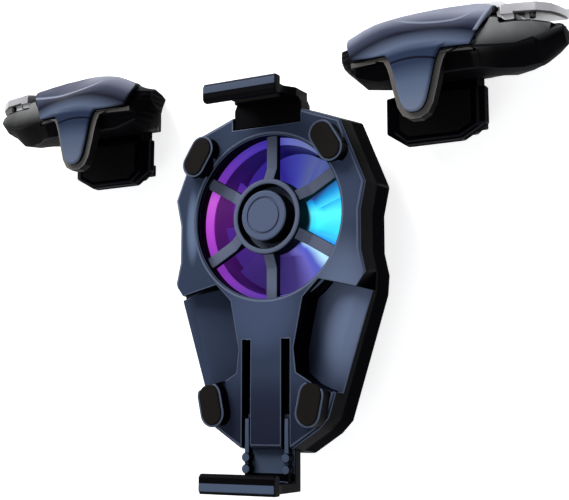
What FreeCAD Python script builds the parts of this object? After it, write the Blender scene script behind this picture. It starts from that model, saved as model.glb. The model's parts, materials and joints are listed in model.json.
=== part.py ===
import FreeCAD, Part
import math
import os
import Sketcher
from FreeCAD import Placement, Rotation, Vector

# Phone game controller with cooling fan: a clip-on fan cooler and two shoulder triggers.
# Everything lies on its back: Z = 0 is the surface it rests on, +Z is up out of the faces,
# +Y runs from the sliding arm to the fixed arm and +X to the right. The origin is on the fan's
# axis at the back of the cooler. Lengths are millimetres.

SIZES = {
    # cooler body, front view
    "cooler_depth": 17.7,
    "parting_height": 13.1,
    "waist_height": 8.2,
    "wall": 1.6,
    "cover_flare": 0.6,
    "skirt_flare": 1.2,
    "back_inset": 4.5,
    "top_flat": 7.8,
    "top_reach": 21.9,
    "shoulder_half": 16.9,
    "shoulder_reach": 18.5,
    "hip_half": 22.4,
    "hip_reach": 5.2,
    "waist_half": 21.2,
    "waist_top": -0.4,
    "waist_low": -8.3,
    "lower_hip_half": 22.2,
    "lower_hip_reach": -12.8,
    "panel_top_half": 21.9,
    "panel_top_reach": -16.4,
    "tail_half": 14.0,
    "tail_reach": -41.0,
    "tail_corner_half": 11.9,
    "tail_corner_reach": -43.2,
    "end_flat": 6.1,
    "end_reach": -47.0,
    "edge_chamfer": 0.5,
    # side panels sunk into the lower half of the face
    "panel_inner_depth": 7.0,
    "panel_fold_depth": 2.7,
    "panel_outer_depth": 3.3,
    "panel_skin": 1.2,
    "panel_wall": 0.8,
    "panel_inner_x": 6.4,
    "panel_fold_x": 18.4,
    "panel_outer_x": 22.6,
    "panel_slope": 0.26,
    "hip_notch_depth": 5.0,
    # fan opening, guard and hub
    "fan_opening_r": 17.0,
    "guard_recess": 2.5,
    "guard_thick": 1.6,
    "guard_rim": 1.6,
    "spoke_width": 2.5,
    "hub_ring_r": 7.9,
    "hub_gap_r": 6.7,
    "hub_cap_r": 5.25,
    "cap_proud": 1.0,
    "hub_floor": 0.8,
    # fan
    "duct_bore_r": 16.0,
    "duct_wall": 1.2,
    "rotor_r": 15.4,
    "cup_r": 7.4,
    "cup_wall": 0.7,
    "blade_thick": 0.8,
    "blade_rise": 4.6,
    "shaft_r": 0.75,
    "shaft_clearance": 0.04,
    "bearing_r": 2.2,
    "tube_r": 3.0,
    "magnet_thick": 0.6,
    "strut_width": 2.2,
    # light
    "light_ring_width": 2.6,
    "light_ring_thick": 1.3,
    "led_size": 1.8,
    "led_thick": 0.7,
    "board_thick": 0.8,
    # clearance between pieces that touch in use
    "gap": 0.1,
    "slide_gap": 0.3,
    # arms
    "slot_x": 4.56,
    "slot_width": 1.9,
    "slot_top": -25.3,
    "rail_width": 1.05,
    "rail_top": -41.1,
    "rail_sink": 0.5,
    "arm_thick": 2.4,
    "arm_inner_half": 5.2,
    "arm_outer_half": 5.8,
    "arm_inner_end": -29.5,
    "neck_thick": 1.9,
    "lip_half": 8.45,
    "lip_height": 11.3,
    "lip_thick": 2.2,
    "lip_reach": 2.0,
    "lip_chamfer": 0.6,
    "low_neck_y": -53.7,
    "top_neck_y": 24.3,
    "top_foot_half": 8.0,
    "top_foot_reach": 19.1,
    "liner_thick": 0.5,
    # rubber pads that the phone's back lies on
    "pad_height": 3.1,
    "pad_length": 9.2,
    "pad_width": 5.6,
    "pad_rim": 0.5,
    "pad_pocket": 1.0,
    "pad_proud": 0.3,
    "top_pad_x": 15.1,
    "top_pad_y": 13.6,
    "top_pad_tilt": 32.0,
    "low_pad_x": 11.3,
    "low_pad_y": -38.4,
    "low_pad_tilt": 12.0,
    # USB-C inlet
    "usb_y": -18.5,
    "usb_z": 9.8,
    "usb_width": 8.9,
    "usb_tall": 3.2,
    "usb_deep": 7.4,
    # trigger units, each in its own frame: u outwards, v up, w out of the screen side
    "unit_right_x": 34.3,
    "unit_left_x": -47.1,
    "unit_right_y": 13.4,
    "unit_left_y": 12.2,
    "tongue_front": 22.5,
    "shell_thick": 1.2,
    "rim_width": 1.2,
    "slot_back": 10.0,
    "slot_front": 18.3,
    "pad_skin": 0.6,
    "rod_r": 0.8,
    "rod_clearance": 0.05,
    "lever_thick": 1.5,
    "plate_thick": 2.0,
    "pin_r": 0.6,
    "pin_clearance": 0.05,
}


class Size:
    """A length with its value and the sheet expression that gives it."""

    def __init__(self, value, text):
        self.value = float(value)
        self.text = text

    def _join(self, other, sign, value):
        right = other.text if isinstance(other, Size) else repr(round(float(other), 5))
        return Size(value, "(%s %s %s)" % (self.text, sign, right))

    def __add__(self, other):
        return self._join(other, "+", self.value + number(other))

    def __sub__(self, other):
        return self._join(other, "-", self.value - number(other))

    def __mul__(self, other):
        return self._join(other, "*", self.value * number(other))

    def __truediv__(self, other):
        return self._join(other, "/", self.value / number(other))

    def __neg__(self):
        return Size(-self.value, "(0 - %s)" % self.text)

    def __radd__(self, other):
        return plain(other) + self

    def __rsub__(self, other):
        return plain(other) - self

    def __rmul__(self, other):
        return self * other


def number(length):
    return length.value if isinstance(length, Size) else float(length)


def plain(length):
    return length if isinstance(length, Size) else Size(length, repr(round(float(length), 5)))


class Sheet:
    """The spreadsheet of driving dimensions; each one reads as an attribute."""

    def __init__(self, document):
        self.cells = document.addObject("Spreadsheet::Sheet", "Sizes")
        for row, (name, value) in enumerate(SIZES.items(), start=1):
            self.cells.set("A%d" % row, name)
            self.cells.set("B%d" % row, str(value))
            self.cells.setAlias("B%d" % row, name)
            setattr(self, name, Size(value, "Sizes." + name))


doc = FreeCAD.newDocument("GameController")
s = Sheet(doc)
doc.recompute()
exported = []


# Building blocks


def origin_plane(body, role):
    return [feature for feature in body.Origin.OriginFeatures if feature.Role == role][0]


def bind(thing, prop, length):
    """Ties one property to the sheet."""
    thing.setExpression(prop, plain(length).text)


def new_body(name):
    return doc.addObject("PartDesign::Body", name)


def new_sketch(body, role, offset):
    """A sketch on one of the body's own origin planes, moved along the plane's normal."""
    sketch = body.newObject("Sketcher::SketchObject", body.Name + "_sketch")
    sketch.AttachmentSupport = [(origin_plane(body, role), "")]
    sketch.MapMode = "FlatFace"
    sketch.AttachmentOffset = Placement(Vector(0, 0, number(offset)), Rotation())
    bind(sketch, "AttachmentOffset.Base.z", offset)
    return sketch


def tie_point(sketch, element, vertex, point):
    for kind, length in zip(("DistanceX", "DistanceY"), point):
        index = sketch.addConstraint(Sketcher.Constraint(kind, -1, 1, element, vertex, number(length)))
        bind(sketch, "Constraints[%d]" % index, length)


def draw_outline(sketch, points):
    """A closed outline of straight sides, every corner tied to the sheet."""
    corners = [Vector(number(x), number(y), 0) for x, y in points]
    for start, end in zip(corners, corners[1:] + corners[:1]):
        sketch.addGeometry(Part.LineSegment(start, end), False)
    for index, point in enumerate(points):
        last = (index - 1) % len(points)
        sketch.addConstraint(Sketcher.Constraint("Coincident", last, 2, index, 1))
        tie_point(sketch, index, 1, point)


def draw_circle(sketch, centre, radius):
    place = Vector(number(centre[0]), number(centre[1]), 0)
    index = sketch.addGeometry(Part.Circle(place, Vector(0, 0, 1), number(radius)), False)
    tie_point(sketch, index, 3, centre)
    tie = sketch.addConstraint(Sketcher.Constraint("Radius", index, number(radius)))
    bind(sketch, "Constraints[%d]" % tie, radius)


def pad(body, sketch, length):
    feature = body.newObject("PartDesign::Pad", body.Name + "_pad")
    feature.Profile = sketch
    feature.Length = number(length)
    bind(feature, "Length", length)
    body.Tip = feature
    return feature


def pocket(body, sketch, length):
    """Cuts from the sketch against its normal."""
    feature = body.newObject("PartDesign::Pocket", body.Name + "_pocket")
    feature.Profile = sketch
    feature.Length = number(length)
    bind(feature, "Length", length)
    body.Tip = feature
    return feature


def add_prism(body, points, low, high, role="XY_Plane"):
    sketch = new_sketch(body, role, low)
    draw_outline(sketch, points)
    return pad(body, sketch, plain(high) - low)


def cut_prism(body, points, low, high, role="XY_Plane"):
    sketch = new_sketch(body, role, high)
    draw_outline(sketch, points)
    return pocket(body, sketch, plain(high) - low)


def add_disc(body, centre, radii, low, high, role="XY_Plane"):
    """A disc, or a ring where two radii are given."""
    sketch = new_sketch(body, role, low)
    for radius in radii:
        draw_circle(sketch, centre, radius)
    return pad(body, sketch, plain(high) - low)


def cut_disc(body, centre, radii, low, high, role="XY_Plane"):
    sketch = new_sketch(body, role, high)
    for radius in radii:
        draw_circle(sketch, centre, radius)
    return pocket(body, sketch, plain(high) - low)


def flat_faces(corners):
    """One face on four corners, or two triangles where they don't lie in one plane."""
    normal = (corners[1] - corners[0]).cross(corners[2] - corners[0])
    lift = (corners[3] - corners[0]).dot(normal) / max(normal.Length, 1e-9)
    if abs(lift) < 1e-6:
        return [Part.Face(Part.makePolygon(corners + corners[:1]))]
    return [Part.Face(Part.makePolygon([corners[0], corners[1], corners[2], corners[0]])),
            Part.Face(Part.makePolygon([corners[0], corners[2], corners[3], corners[0]]))]


def closed_solid(faces):
    """The solid inside faces that close on each other."""
    solid = Part.Solid(Part.Shell(faces))
    if solid.Volume < 0:
        solid.reverse()
    return solid


def skin(name, sections):
    """A solid with straight sides through closed sections that have equally many corners."""
    faces = [Part.Face(Part.makePolygon(ends + ends[:1])) for ends in (sections[0], sections[-1])]
    for near, far in zip(sections, sections[1:]):
        for index in range(len(near)):
            after = (index + 1) % len(near)
            faces += flat_faces([near[index], near[after], far[after], far[index]])
    piece = doc.addObject("Part::Feature", name)
    piece.Shape = closed_solid(faces)
    return piece


def stack(name, levels):
    """A solid through flat outlines at rising heights; levels holds (height, points) pairs."""
    return skin(name, [[Vector(number(x), number(y), number(height)) for x, y in points] for height, points in levels])


def along_depth(name, levels):
    """A solid through upright outlines; levels holds (y, points) pairs with points as (x, z)."""
    return skin(name, [[Vector(number(x), number(reach), number(z)) for x, z in points] for reach, points in levels])


def turn(body, points):
    """Revolves a half section, drawn as radius and height, about the vertical axis."""
    sketch = new_sketch(body, "XZ_Plane", 0)
    draw_outline(sketch, points)
    feature = body.newObject("PartDesign::Revolution", body.Name + "_turn")
    feature.Profile = sketch
    feature.ReferenceAxis = (sketch, ["V_Axis"])
    feature.Angle = 360.0
    body.Tip = feature
    return feature


def repeat_round(body, features, count):
    """Repeats features about the fan's axis."""
    pattern = body.newObject("PartDesign::PolarPattern", body.Name + "_polar")
    pattern.Originals = features
    pattern.Axis = (origin_plane(body, "Z_Axis"), [""])
    pattern.Angle = 360.0
    pattern.Occurrences = count
    body.Tip = pattern
    return pattern


def mirror_across(body, features, role="YZ_Plane"):
    mirrored = body.newObject("PartDesign::Mirrored", body.Name + "_mirror")
    mirrored.Originals = features
    mirrored.MirrorPlane = (origin_plane(body, role), [""])
    body.Tip = mirrored
    return mirrored


def bevel(body, keep, size, kind="Chamfer"):
    """Chamfers or rounds the edges that keep picks from the body as it stands."""
    doc.recompute()
    base = body.Tip
    names = ["Edge%d" % (i + 1) for i, edge in enumerate(base.Shape.Edges) if keep(edge)]
    feature = body.newObject("PartDesign::" + kind, body.Name + "_" + kind.lower())
    feature.Base = (base, names)
    prop = "Size" if kind == "Chamfer" else "Radius"
    setattr(feature, prop, number(size))
    bind(feature, prop, size)
    body.Tip = feature
    return feature


def at_height(height):
    """Picks the edges that lie flat at one height."""
    level = number(height)
    return lambda edge: all(abs(vertex.Point.z - level) < 1e-4 for vertex in edge.Vertexes)


def box(name, low, high):
    """A plain block between two corners."""
    block = doc.addObject("Part::Box", name)
    for prop, axis in (("Length", 0), ("Width", 1), ("Height", 2)):
        bind(block, prop, plain(high[axis]) - low[axis])
    for prop, axis in (("x", 0), ("y", 1), ("z", 2)):
        bind(block, "Placement.Base." + prop, plain(low[axis]))
    return block


def rod(name, centre, radius, length, axis=Vector(0, 0, 1)):
    """A round bar that starts at centre and runs along axis."""
    bar = doc.addObject("Part::Cylinder", name)
    bar.Placement = Placement(Vector(0, 0, 0), Rotation(Vector(0, 0, 1), axis))
    bind(bar, "Radius", radius)
    bind(bar, "Height", length)
    for prop, place in zip("xyz", centre):
        bind(bar, "Placement.Base." + prop, place)
    return bar


def group(name, members):
    """Several separate solids kept as one node."""
    several = doc.addObject("Part::Compound", name)
    several.Links = members
    return several


def combine(kind, name, base, tool):
    result = doc.addObject("Part::" + kind, name)
    result.Base = base
    result.Tool = tool
    return result


def flip(name, source):
    """The same piece on the other side of the fan's axis."""
    image = doc.addObject("Part::Mirroring", name)
    image.Source = source
    image.Normal = Vector(1, 0, 0)
    return image


def keep(piece, label):
    """Marks a finished sub-part for export under its own name."""
    piece.Label = label
    exported.append(piece)
    return piece


def both_sides(points):
    """Completes a half outline, given from the top round to the bottom, with its mirror image."""
    return points + [(-plain(x), y) for x, y in reversed(points)]


def offset_outline(points, distance):
    """Moves each corner of a closed outline outwards so that its sides shift by distance."""
    moved = []
    for index, (x, y) in enumerate(points):
        before = points[index - 1]
        after = points[(index + 1) % len(points)]
        here = Vector(number(x), number(y), 0)
        first = (here - Vector(number(before[0]), number(before[1]), 0)).normalize()
        second = (Vector(number(after[0]), number(after[1]), 0) - here).normalize()
        normals = [Vector(-way.y, way.x, 0) for way in (first, second)]
        total = normals[0] + normals[1]
        corner = total / (1 + normals[0].dot(normals[1]))
        moved.append((x + distance * corner.x, y + distance * corner.y))
    return moved


# Cooler outlines


def face_outline():
    half = [
        (s.top_flat, s.top_reach),
        (s.shoulder_half, s.shoulder_reach),
        (s.hip_half, s.hip_reach),
        (s.waist_half, s.waist_top),
        (s.waist_half, s.waist_low),
        (s.lower_hip_half, s.lower_hip_reach),
        (s.panel_top_half, s.panel_top_reach),
        (s.tail_half, s.tail_reach),
        (s.tail_corner_half, s.tail_corner_reach),
        (s.end_flat, s.end_reach),
    ]
    return both_sides(half)


def panel_outline():
    """The right sunk panel, seen from the front."""
    return [
        (12.0, -13.6),
        (20.3, -15.6),
        (27.0, -17.2),
        (21.0, -37.6),
        (15.9, -36.1),
        (14.9, -35.8),
        (10.6, -34.2),
        (6.95, -32.0),
        (s.panel_inner_x, -27.2),
        (8.45, -17.1),
    ]



# Cooler: covers

face = s.cooler_depth
ceiling = s.cooler_depth - s.wall
floor = s.wall
post_r = 1.8
top_post = (14.1, 15.7)
low_post = (9.4, -40.4)


def panel_section(shift, lift, left, right):
    """The sunk panel's fold seen from the end: everything above its surface."""
    high = face + 6
    inner = face - s.panel_inner_depth + lift
    fold = face - s.panel_fold_depth + lift
    outer = face - s.panel_outer_depth + lift
    low_line = [(left + shift, inner), (s.panel_inner_x + 2 + shift, inner), (s.panel_fold_x + shift, fold),
                (s.panel_outer_x + shift, outer), (right + shift, outer)]
    return high, low_line


def panel_tool():
    """What is cut away above the right panel."""
    area = new_body("panel_area")
    add_prism(area, panel_outline(), face - s.panel_inner_depth - 1, face + 3)
    levels = []
    for reach in (12.0, 42.0):
        shift = -s.panel_slope * (reach - 16.5)
        high, line = panel_section(shift, 0, s.panel_inner_x - 3, s.panel_outer_x + 8)
        levels.append((-reach, [(line[0][0], high)] + line + [(line[-1][0], high)]))
    return combine("Common", "panel_tool", area, along_depth("panel_above", levels))


def under_tool():
    """What is cut away below the right panel's skin."""
    base = s.parting_height - 8
    levels = []
    for reach in (11.0, 43.0):
        shift = -s.panel_slope * (reach - 16.5)
        high, line = panel_section(shift, -s.panel_skin, s.panel_inner_x + 1, s.panel_outer_x - 2.4)
        line = line[:3] + [(line[-1][0], line[3][1])]
        levels.append((-reach, [(line[0][0], base)] + line + [(line[-1][0], base)]))
    return along_depth("panel_below", levels)


def panel_block():
    """The material of the right panel and its inner wall before the surfaces are cut."""
    grown = offset_outline(panel_outline(), s.panel_wall)
    low = face - s.panel_inner_depth - s.panel_skin
    parts = []
    for name, start, stop, inset in (("low", low, s.parting_height + 0.4, -s.wall - s.slide_gap),
                                     ("high", s.parting_height, ceiling + 0.4, -s.wall + 0.4)):
        area = new_body("panel_grown_" + name)
        add_prism(area, grown, start, stop)
        inside = new_body("panel_inside_" + name)
        add_prism(inside, offset_outline(face_outline(), inset), start, stop)
        parts.append(combine("Common", "panel_block_" + name, area, inside))
    return combine("Fuse", "panel_block", parts[0], parts[1])


def oblong(name, place, length, width, tilt, low, high):
    """A slab with round ends, turned about its own centre."""
    radius = width / 2
    half = length / 2 - radius
    middle = box(name + "_middle", (-radius, -half, low), (radius, half, high))
    ends = [rod(name + "_end", (0, way * half, low), radius, plain(high) - low) for way in (1, -1)]
    whole = doc.addObject("Part::MultiFuse", name)
    whole.Shapes = [middle] + ends
    whole.Refine = True
    whole.Placement = Placement(Vector(0, 0, 0), Rotation(Vector(0, 0, 1), tilt.value))
    bind(whole, "Placement.Base.x", place[0])
    bind(whole, "Placement.Base.y", place[1])
    bind(whole, "Placement.Rotation.Angle", tilt)
    return whole


def pad_places():
    return [("top_right", (s.top_pad_x, s.top_pad_y), s.top_pad_tilt),
            ("top_left", (-s.top_pad_x, s.top_pad_y), -s.top_pad_tilt),
            ("low_right", (s.low_pad_x, s.low_pad_y), -s.low_pad_tilt),
            ("low_left", (-s.low_pad_x, s.low_pad_y), plain(s.low_pad_tilt))]


def slot_outline(way):
    left = way * s.slot_x - s.slot_width / 2
    right = way * s.slot_x + s.slot_width / 2
    return [(left, s.slot_top), (right, s.slot_top), (right, s.end_reach - 2), (left, s.end_reach - 2)]


def fan_hole():
    """The round opening over the fan with its chamfered edge."""
    hole = new_body("fan_hole")
    rim = s.fan_opening_r
    turn(hole, [(0, ceiling - 1), (rim, ceiling - 1), (rim, face - s.edge_chamfer), (rim + s.edge_chamfer, face),
                (rim + s.edge_chamfer, face + 1), (0, face + 1)])
    return hole


def cover_form():
    """The cover's outer form down to the parting line, its top edge chamfered."""
    outline = face_outline()
    inside = offset_outline(outline, -s.edge_chamfer)
    share = s.edge_chamfer / (face - s.parting_height)
    return stack("cover_form", [(s.parting_height, offset_outline(outline, s.cover_flare)),
                                (face - s.edge_chamfer, offset_outline(outline, s.cover_flare * share.value)),
                                (face, inside)])


def front_cover():
    outline = face_outline()
    form = cover_form()
    cavity = new_body("cover_cavity")
    add_prism(cavity, offset_outline(outline, -s.wall), s.parting_height - 1, ceiling)
    side = s.arm_outer_half + s.slide_gap
    mouth = new_body("arm_mouth")
    add_prism(mouth, [(-side, s.end_reach + 8), (side, s.end_reach + 8), (side, s.end_reach - 2),
                      (-side, s.end_reach - 2)], s.parting_height - 1, ceiling)
    foot = s.top_foot_half + s.gap
    seat = new_body("foot_seat")
    add_prism(seat, [(-foot, s.top_reach + 2), (foot, s.top_reach + 2), (foot, s.top_foot_reach - s.gap),
                     (-foot, s.top_foot_reach - s.gap)], s.parting_height - 1, face + 1)
    slots = []
    for way in (1, -1):
        slot = new_body("arm_slot")
        add_prism(slot, slot_outline(way), ceiling - 1, face + 1)
        slots.append(slot)
    openings = doc.addObject("Part::MultiFuse", "cover_openings")
    openings.Shapes = [cavity, mouth, seat, fan_hole()] + slots
    shell = combine("Cut", "cover_shell", form, openings)

    block = panel_block()
    blocks = [block, flip("panel_block_left", block)]
    posts = [rod("cover_post", (x, y, s.parting_height + s.gap), post_r, ceiling - s.parting_height)
             for x, y in screw_places()]
    boss_top = face + s.pad_height - s.pad_proud
    bosses = [oblong("boss_" + name, place, s.pad_length, s.pad_width, tilt, face - 1, boss_top)
              for name, place, tilt in pad_places()]
    whole = doc.addObject("Part::MultiFuse", "cover_whole")
    whole.Shapes = [shell] + blocks + posts + bosses

    under = under_tool()
    above = panel_tool()
    notch = new_body("hip_notch")
    add_prism(notch, [(20.3, -15.6), (22.6, -12.4), (27.0, -13.0), (27.0, -17.2)], face - s.hip_notch_depth, face + 3)
    pockets = [oblong("pocket_" + name, place, s.pad_length - 2 * s.pad_rim, s.pad_width - 2 * s.pad_rim, tilt,
                      face + s.pad_height - s.pad_proud - s.pad_pocket, face + s.pad_height)
               for name, place, tilt in pad_places()]
    holes = [rod("cover_hole", (x, y, s.parting_height), screw_r + s.rod_clearance, 3.0) for x, y in screw_places()]
    tools = doc.addObject("Part::MultiFuse", "cover_tools")
    ring_seat = rod("ring_seat", (0, 0, s.parting_height - 5), ring_out + 0.15, ceiling - s.parting_height + 5)
    tools.Shapes = [under, flip("under_left", under), above, flip("above_left", above),
                    notch, flip("notch_left", notch), ring_seat] + pockets + holes
    return keep(combine("Cut", "front_cover", whole, tools), "front_cover")


screw_r = 0.85
screw_head_r = 1.7
screw_seat = 4.0
arm_screw_x = 5.5
arm_screw_y = s.top_foot_reach + 1.5


def screw_places():
    return [(way * x, y) for x, y in (top_post, low_post) for way in (1, -1)]


def housing_form():
    """The rear housing's outer form: a flat back, a wide taper and a nearly upright skirt."""
    outline = face_outline()
    return stack("housing_form", [(0, offset_outline(outline, -s.back_inset)),
                                  (s.waist_height, offset_outline(outline, s.skirt_flare)),
                                  (s.parting_height, offset_outline(outline, s.cover_flare))])


def housing_hollow():
    outline = face_outline()
    top = s.parting_height + 1
    return stack("housing_hollow", [(floor, offset_outline(outline, -s.back_inset - s.wall * 0.4)),
                                    (s.waist_height, offset_outline(outline, s.skirt_flare - s.wall)),
                                    (top, offset_outline(outline, s.cover_flare - s.wall))])


def rear_housing():
    outer = housing_form()
    hollow = housing_hollow()
    bosses = [rod("housing_boss", (x, y, 0.5), post_r + 0.6, s.parting_height - 0.5) for x, y in screw_places()]
    ledge = box("arm_ledge", (-s.top_foot_half, ring_out + 0.2, 2.0), (s.top_foot_half, s.top_foot_reach + 4.9, s.parting_height))
    ribs = [box("arm_rib", (way * 4.3 - 0.9, -44.0, 0.5), (way * 4.3 + 0.9, -24.0, s.parting_height))
            for way in (1, -1)]
    brake_seat = box("brake_seat", (-3.4, -43.0, 0.5), (3.4, -35.0, brake_low))
    stands = [rod("board_stand", (x, y, 0.5), 1.2, board_low - 0.5) for x, y in ((-16.0, -18.0), (-11.0, -28.0))]
    inner = doc.addObject("Part::MultiFuse", "housing_inner")
    inner.Shapes = bosses + [ledge] + ribs + [brake_seat] + stands
    inner_kept = combine("Common", "housing_inner_kept", inner, outer)
    wall = combine("Cut", "housing_wall", outer, hollow)
    whole = combine("Fuse", "housing_whole", wall, inner_kept)

    grille = new_body("intake_slots")
    first = add_prism(grille, [(5.6, -0.7), (12.6, -0.7), (12.6, 0.7), (5.6, 0.7)], -1, floor + 1)
    repeat_round(grille, [first], 16)
    usb_half = s.usb_width / 2 + s.gap
    usb_up = s.usb_tall / 2 + s.gap
    inlet = box("usb_opening", (-27.0, s.usb_y - usb_half, s.usb_z - usb_up),
                (-15.0, s.usb_y + usb_half, s.usb_z + usb_up))
    holes = []
    for x, y in screw_places():
        holes.append(rod("screw_hole", (x, y, -1), screw_r + s.rod_clearance, s.parting_height + 2))
        holes.append(rod("screw_well", (x, y, -1), screw_head_r + 0.2, screw_seat + 1))
    for way in (1, -1):
        holes.append(rod("arm_screw_hole", (way * arm_screw_x, arm_screw_y, 5.0), screw_r + s.rod_clearance, 10.0))
        holes.append(rod("arm_screw_well", (way * arm_screw_x, arm_screw_y, -1), screw_head_r + 0.2, 8.0))
    seat = new_body("duct_seat")
    out = s.duct_bore_r + s.duct_wall + s.slide_gap
    turn(seat, [(0, floor), (out - duct_bevel, floor), (out, floor + duct_bevel * 2), (out, floor + 4), (0, floor + 4)])
    tools = doc.addObject("Part::MultiFuse", "housing_tools")
    tools.Shapes = [grille, inlet, seat] + holes
    return keep(combine("Cut", "rear_housing", whole, tools), "rear_housing")


# Cooler: fan and light

guard_top = s.cooler_depth - s.wall - s.gap
spoke_top = s.cooler_depth - s.guard_recess
guard_low = s.cooler_depth - s.guard_recess - s.guard_thick
light_top = guard_low - s.gap
light_low = light_top - s.light_ring_thick
led_low = light_low - s.gap - s.led_thick
ring_board_low = led_low - s.board_thick
duct_top = ring_board_low - s.gap
duct_bevel = 0.8
ring_out = s.fan_opening_r + s.guard_rim


def fan_guard():
    body = new_body("fan_guard")
    add_disc(body, (0, 0), [ring_out, s.fan_opening_r + 0.2], guard_low, guard_top)
    spoke = new_sketch(body, "XZ_Plane", 0)
    draw_outline(spoke, [(s.hub_ring_r - 0.6, guard_low), (s.fan_opening_r + 0.6, guard_low),
                         (s.fan_opening_r + 0.6, spoke_top), (s.hub_ring_r + 2.6, spoke_top),
                         (s.hub_ring_r - 0.6, spoke_top + 1.7)])
    bar = pad(body, spoke, s.spoke_width)
    bar.Midplane = True
    turned = repeat_round(body, [bar], 6)
    add_disc(body, (0, 0), [s.hub_ring_r, s.hub_gap_r], guard_low, face)
    add_disc(body, (0, 0), [s.hub_gap_r + 0.2], guard_low, guard_low + s.hub_floor)
    bevel(body, at_height(face), 0.25)
    body.Placement = Placement(Vector(0, 0, 0), Rotation(Vector(0, 0, 1), 30))
    return keep(body, "fan_guard")


def hub_cap():
    """A plain round cap with a fine ring cut in its face."""
    body = new_body("hub_cap")
    low = guard_low + s.hub_floor + s.gap
    top = face + s.cap_proud
    turn(body, [(0, low), (s.hub_cap_r, low), (s.hub_cap_r, top - 0.25), (s.hub_cap_r - 0.25, top),
                (3.9, top), (3.9, top - 0.25), (3.5, top - 0.25), (3.5, top), (0, top)])
    return keep(body, "hub_cap")


def light_ring():
    body = new_body("light_ring")
    turn(body, [(s.duct_bore_r, light_low), (s.duct_bore_r + s.light_ring_width, light_low),
                (s.duct_bore_r + s.light_ring_width, light_top), (s.duct_bore_r + 0.5, light_top),
                (s.duct_bore_r, light_top - 0.5)])
    return keep(body, "light_ring")


def led_board():
    body = new_body("led_board")
    add_disc(body, (0, 0), [s.duct_bore_r + s.light_ring_width, s.duct_bore_r + 0.2], ring_board_low, led_low)
    return keep(body, "led_board")


def leds():
    size = s.led_size / 2
    middle = s.duct_bore_r + s.light_ring_width / 2
    lamps = []
    for index in range(8):
        lamp = box("led", (middle - size, -size, led_low), (middle + size, size, led_low + s.led_thick))
        turned = Rotation(Vector(0, 0, 1), 22.5 + 45.0 * index)
        holder = doc.addObject("Part::Compound", "led_place")
        holder.Links = [lamp]
        holder.Placement = Placement(Vector(0, 0, 0), turned)
        lamps.append(holder)
    return keep(group("leds", lamps), "leds")


def fan_duct():
    """The fan's frame: the ring round the blades, three struts and the bearing tube."""
    body = new_body("fan_duct")
    foot = floor + s.gap
    out = s.duct_bore_r + s.duct_wall
    turn(body, [(s.duct_bore_r, foot), (out - duct_bevel, foot), (out, foot + duct_bevel * 2), (out, duct_top),
                (s.duct_bore_r, duct_top)])
    half = s.strut_width / 2
    strut = add_prism(body, [(s.cup_r - 3, -half), (s.duct_bore_r + 0.5, -half),
                             (s.duct_bore_r + 0.5, half), (s.cup_r - 3, half)], floor + s.gap, floor + 1.3)
    repeat_round(body, [strut], 3)
    add_disc(body, (0, 0), [s.cup_r - 1.4], floor + s.gap, floor + 1.3)
    add_disc(body, (0, 0), [s.tube_r, s.bearing_r + 0.02], floor + 1.3, stator_top + 0.4)
    return keep(body, "fan_duct")


stator_low = s.wall + 2.2
stator_top = stator_low + 2.6
cup_top = s.wall + 8.0
cup_low = s.wall + 2.0


def fan_bearing():
    body = new_body("fan_bearing")
    add_disc(body, (0, 0), [s.bearing_r, s.shaft_r + s.shaft_clearance], floor + 1.3, stator_top + 0.4)
    return keep(body, "fan_bearing")


def fan_shaft():
    body = new_body("fan_shaft")
    add_disc(body, (0, 0), [s.shaft_r], floor + 1.4, cup_top - s.cup_wall)
    return keep(body, "fan_shaft")


def fan_stator():
    """Four poles with wide tips on a ring that sits on the bearing tube."""
    body = new_body("fan_stator")
    add_disc(body, (0, 0), [s.tube_r + 1.0, s.tube_r + 0.02], stator_low, stator_top)
    reach = s.cup_r - s.cup_wall - s.magnet_thick - 0.35
    pole = add_prism(body, [(s.tube_r + 0.6, -0.5), (reach - 0.7, -0.5), (reach - 0.7, -1.7), (reach - 0.1, -1.4),
                            (reach - 0.1, 1.4), (reach - 0.7, 1.7), (reach - 0.7, 0.5), (s.tube_r + 0.6, 0.5)],
                     stator_low, stator_top)
    repeat_round(body, [pole], 4)
    return keep(body, "fan_stator")


def stator_coils():
    """One wound coil on each pole, as its closed outer form."""
    reach = s.cup_r - s.cup_wall - s.magnet_thick - 0.35
    coils = []
    for index in range(4):
        outer = box("coil_outer", (s.tube_r + 1.1, -1.2, stator_low - 0.5), (reach - 0.8, 1.2, stator_top + 0.5))
        inner = box("coil_inner", (s.tube_r + 0.9, -0.55, stator_low - 0.05), (reach - 0.6, 0.55, stator_top + 0.05))
        coil = combine("Cut", "coil", outer, inner)
        coil.Placement = Placement(Vector(0, 0, 0), Rotation(Vector(0, 0, 1), 90.0 * index))
        coils.append(coil)
    return keep(group("stator_coils", coils), "stator_coils")


def rotor_magnet():
    body = new_body("rotor_magnet")
    outer = s.cup_r - s.cup_wall - 0.02
    add_disc(body, (0, 0), [outer, outer - s.magnet_thick], cup_low + 0.2, cup_low + 4.2)
    return keep(body, "rotor_magnet")


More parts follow.
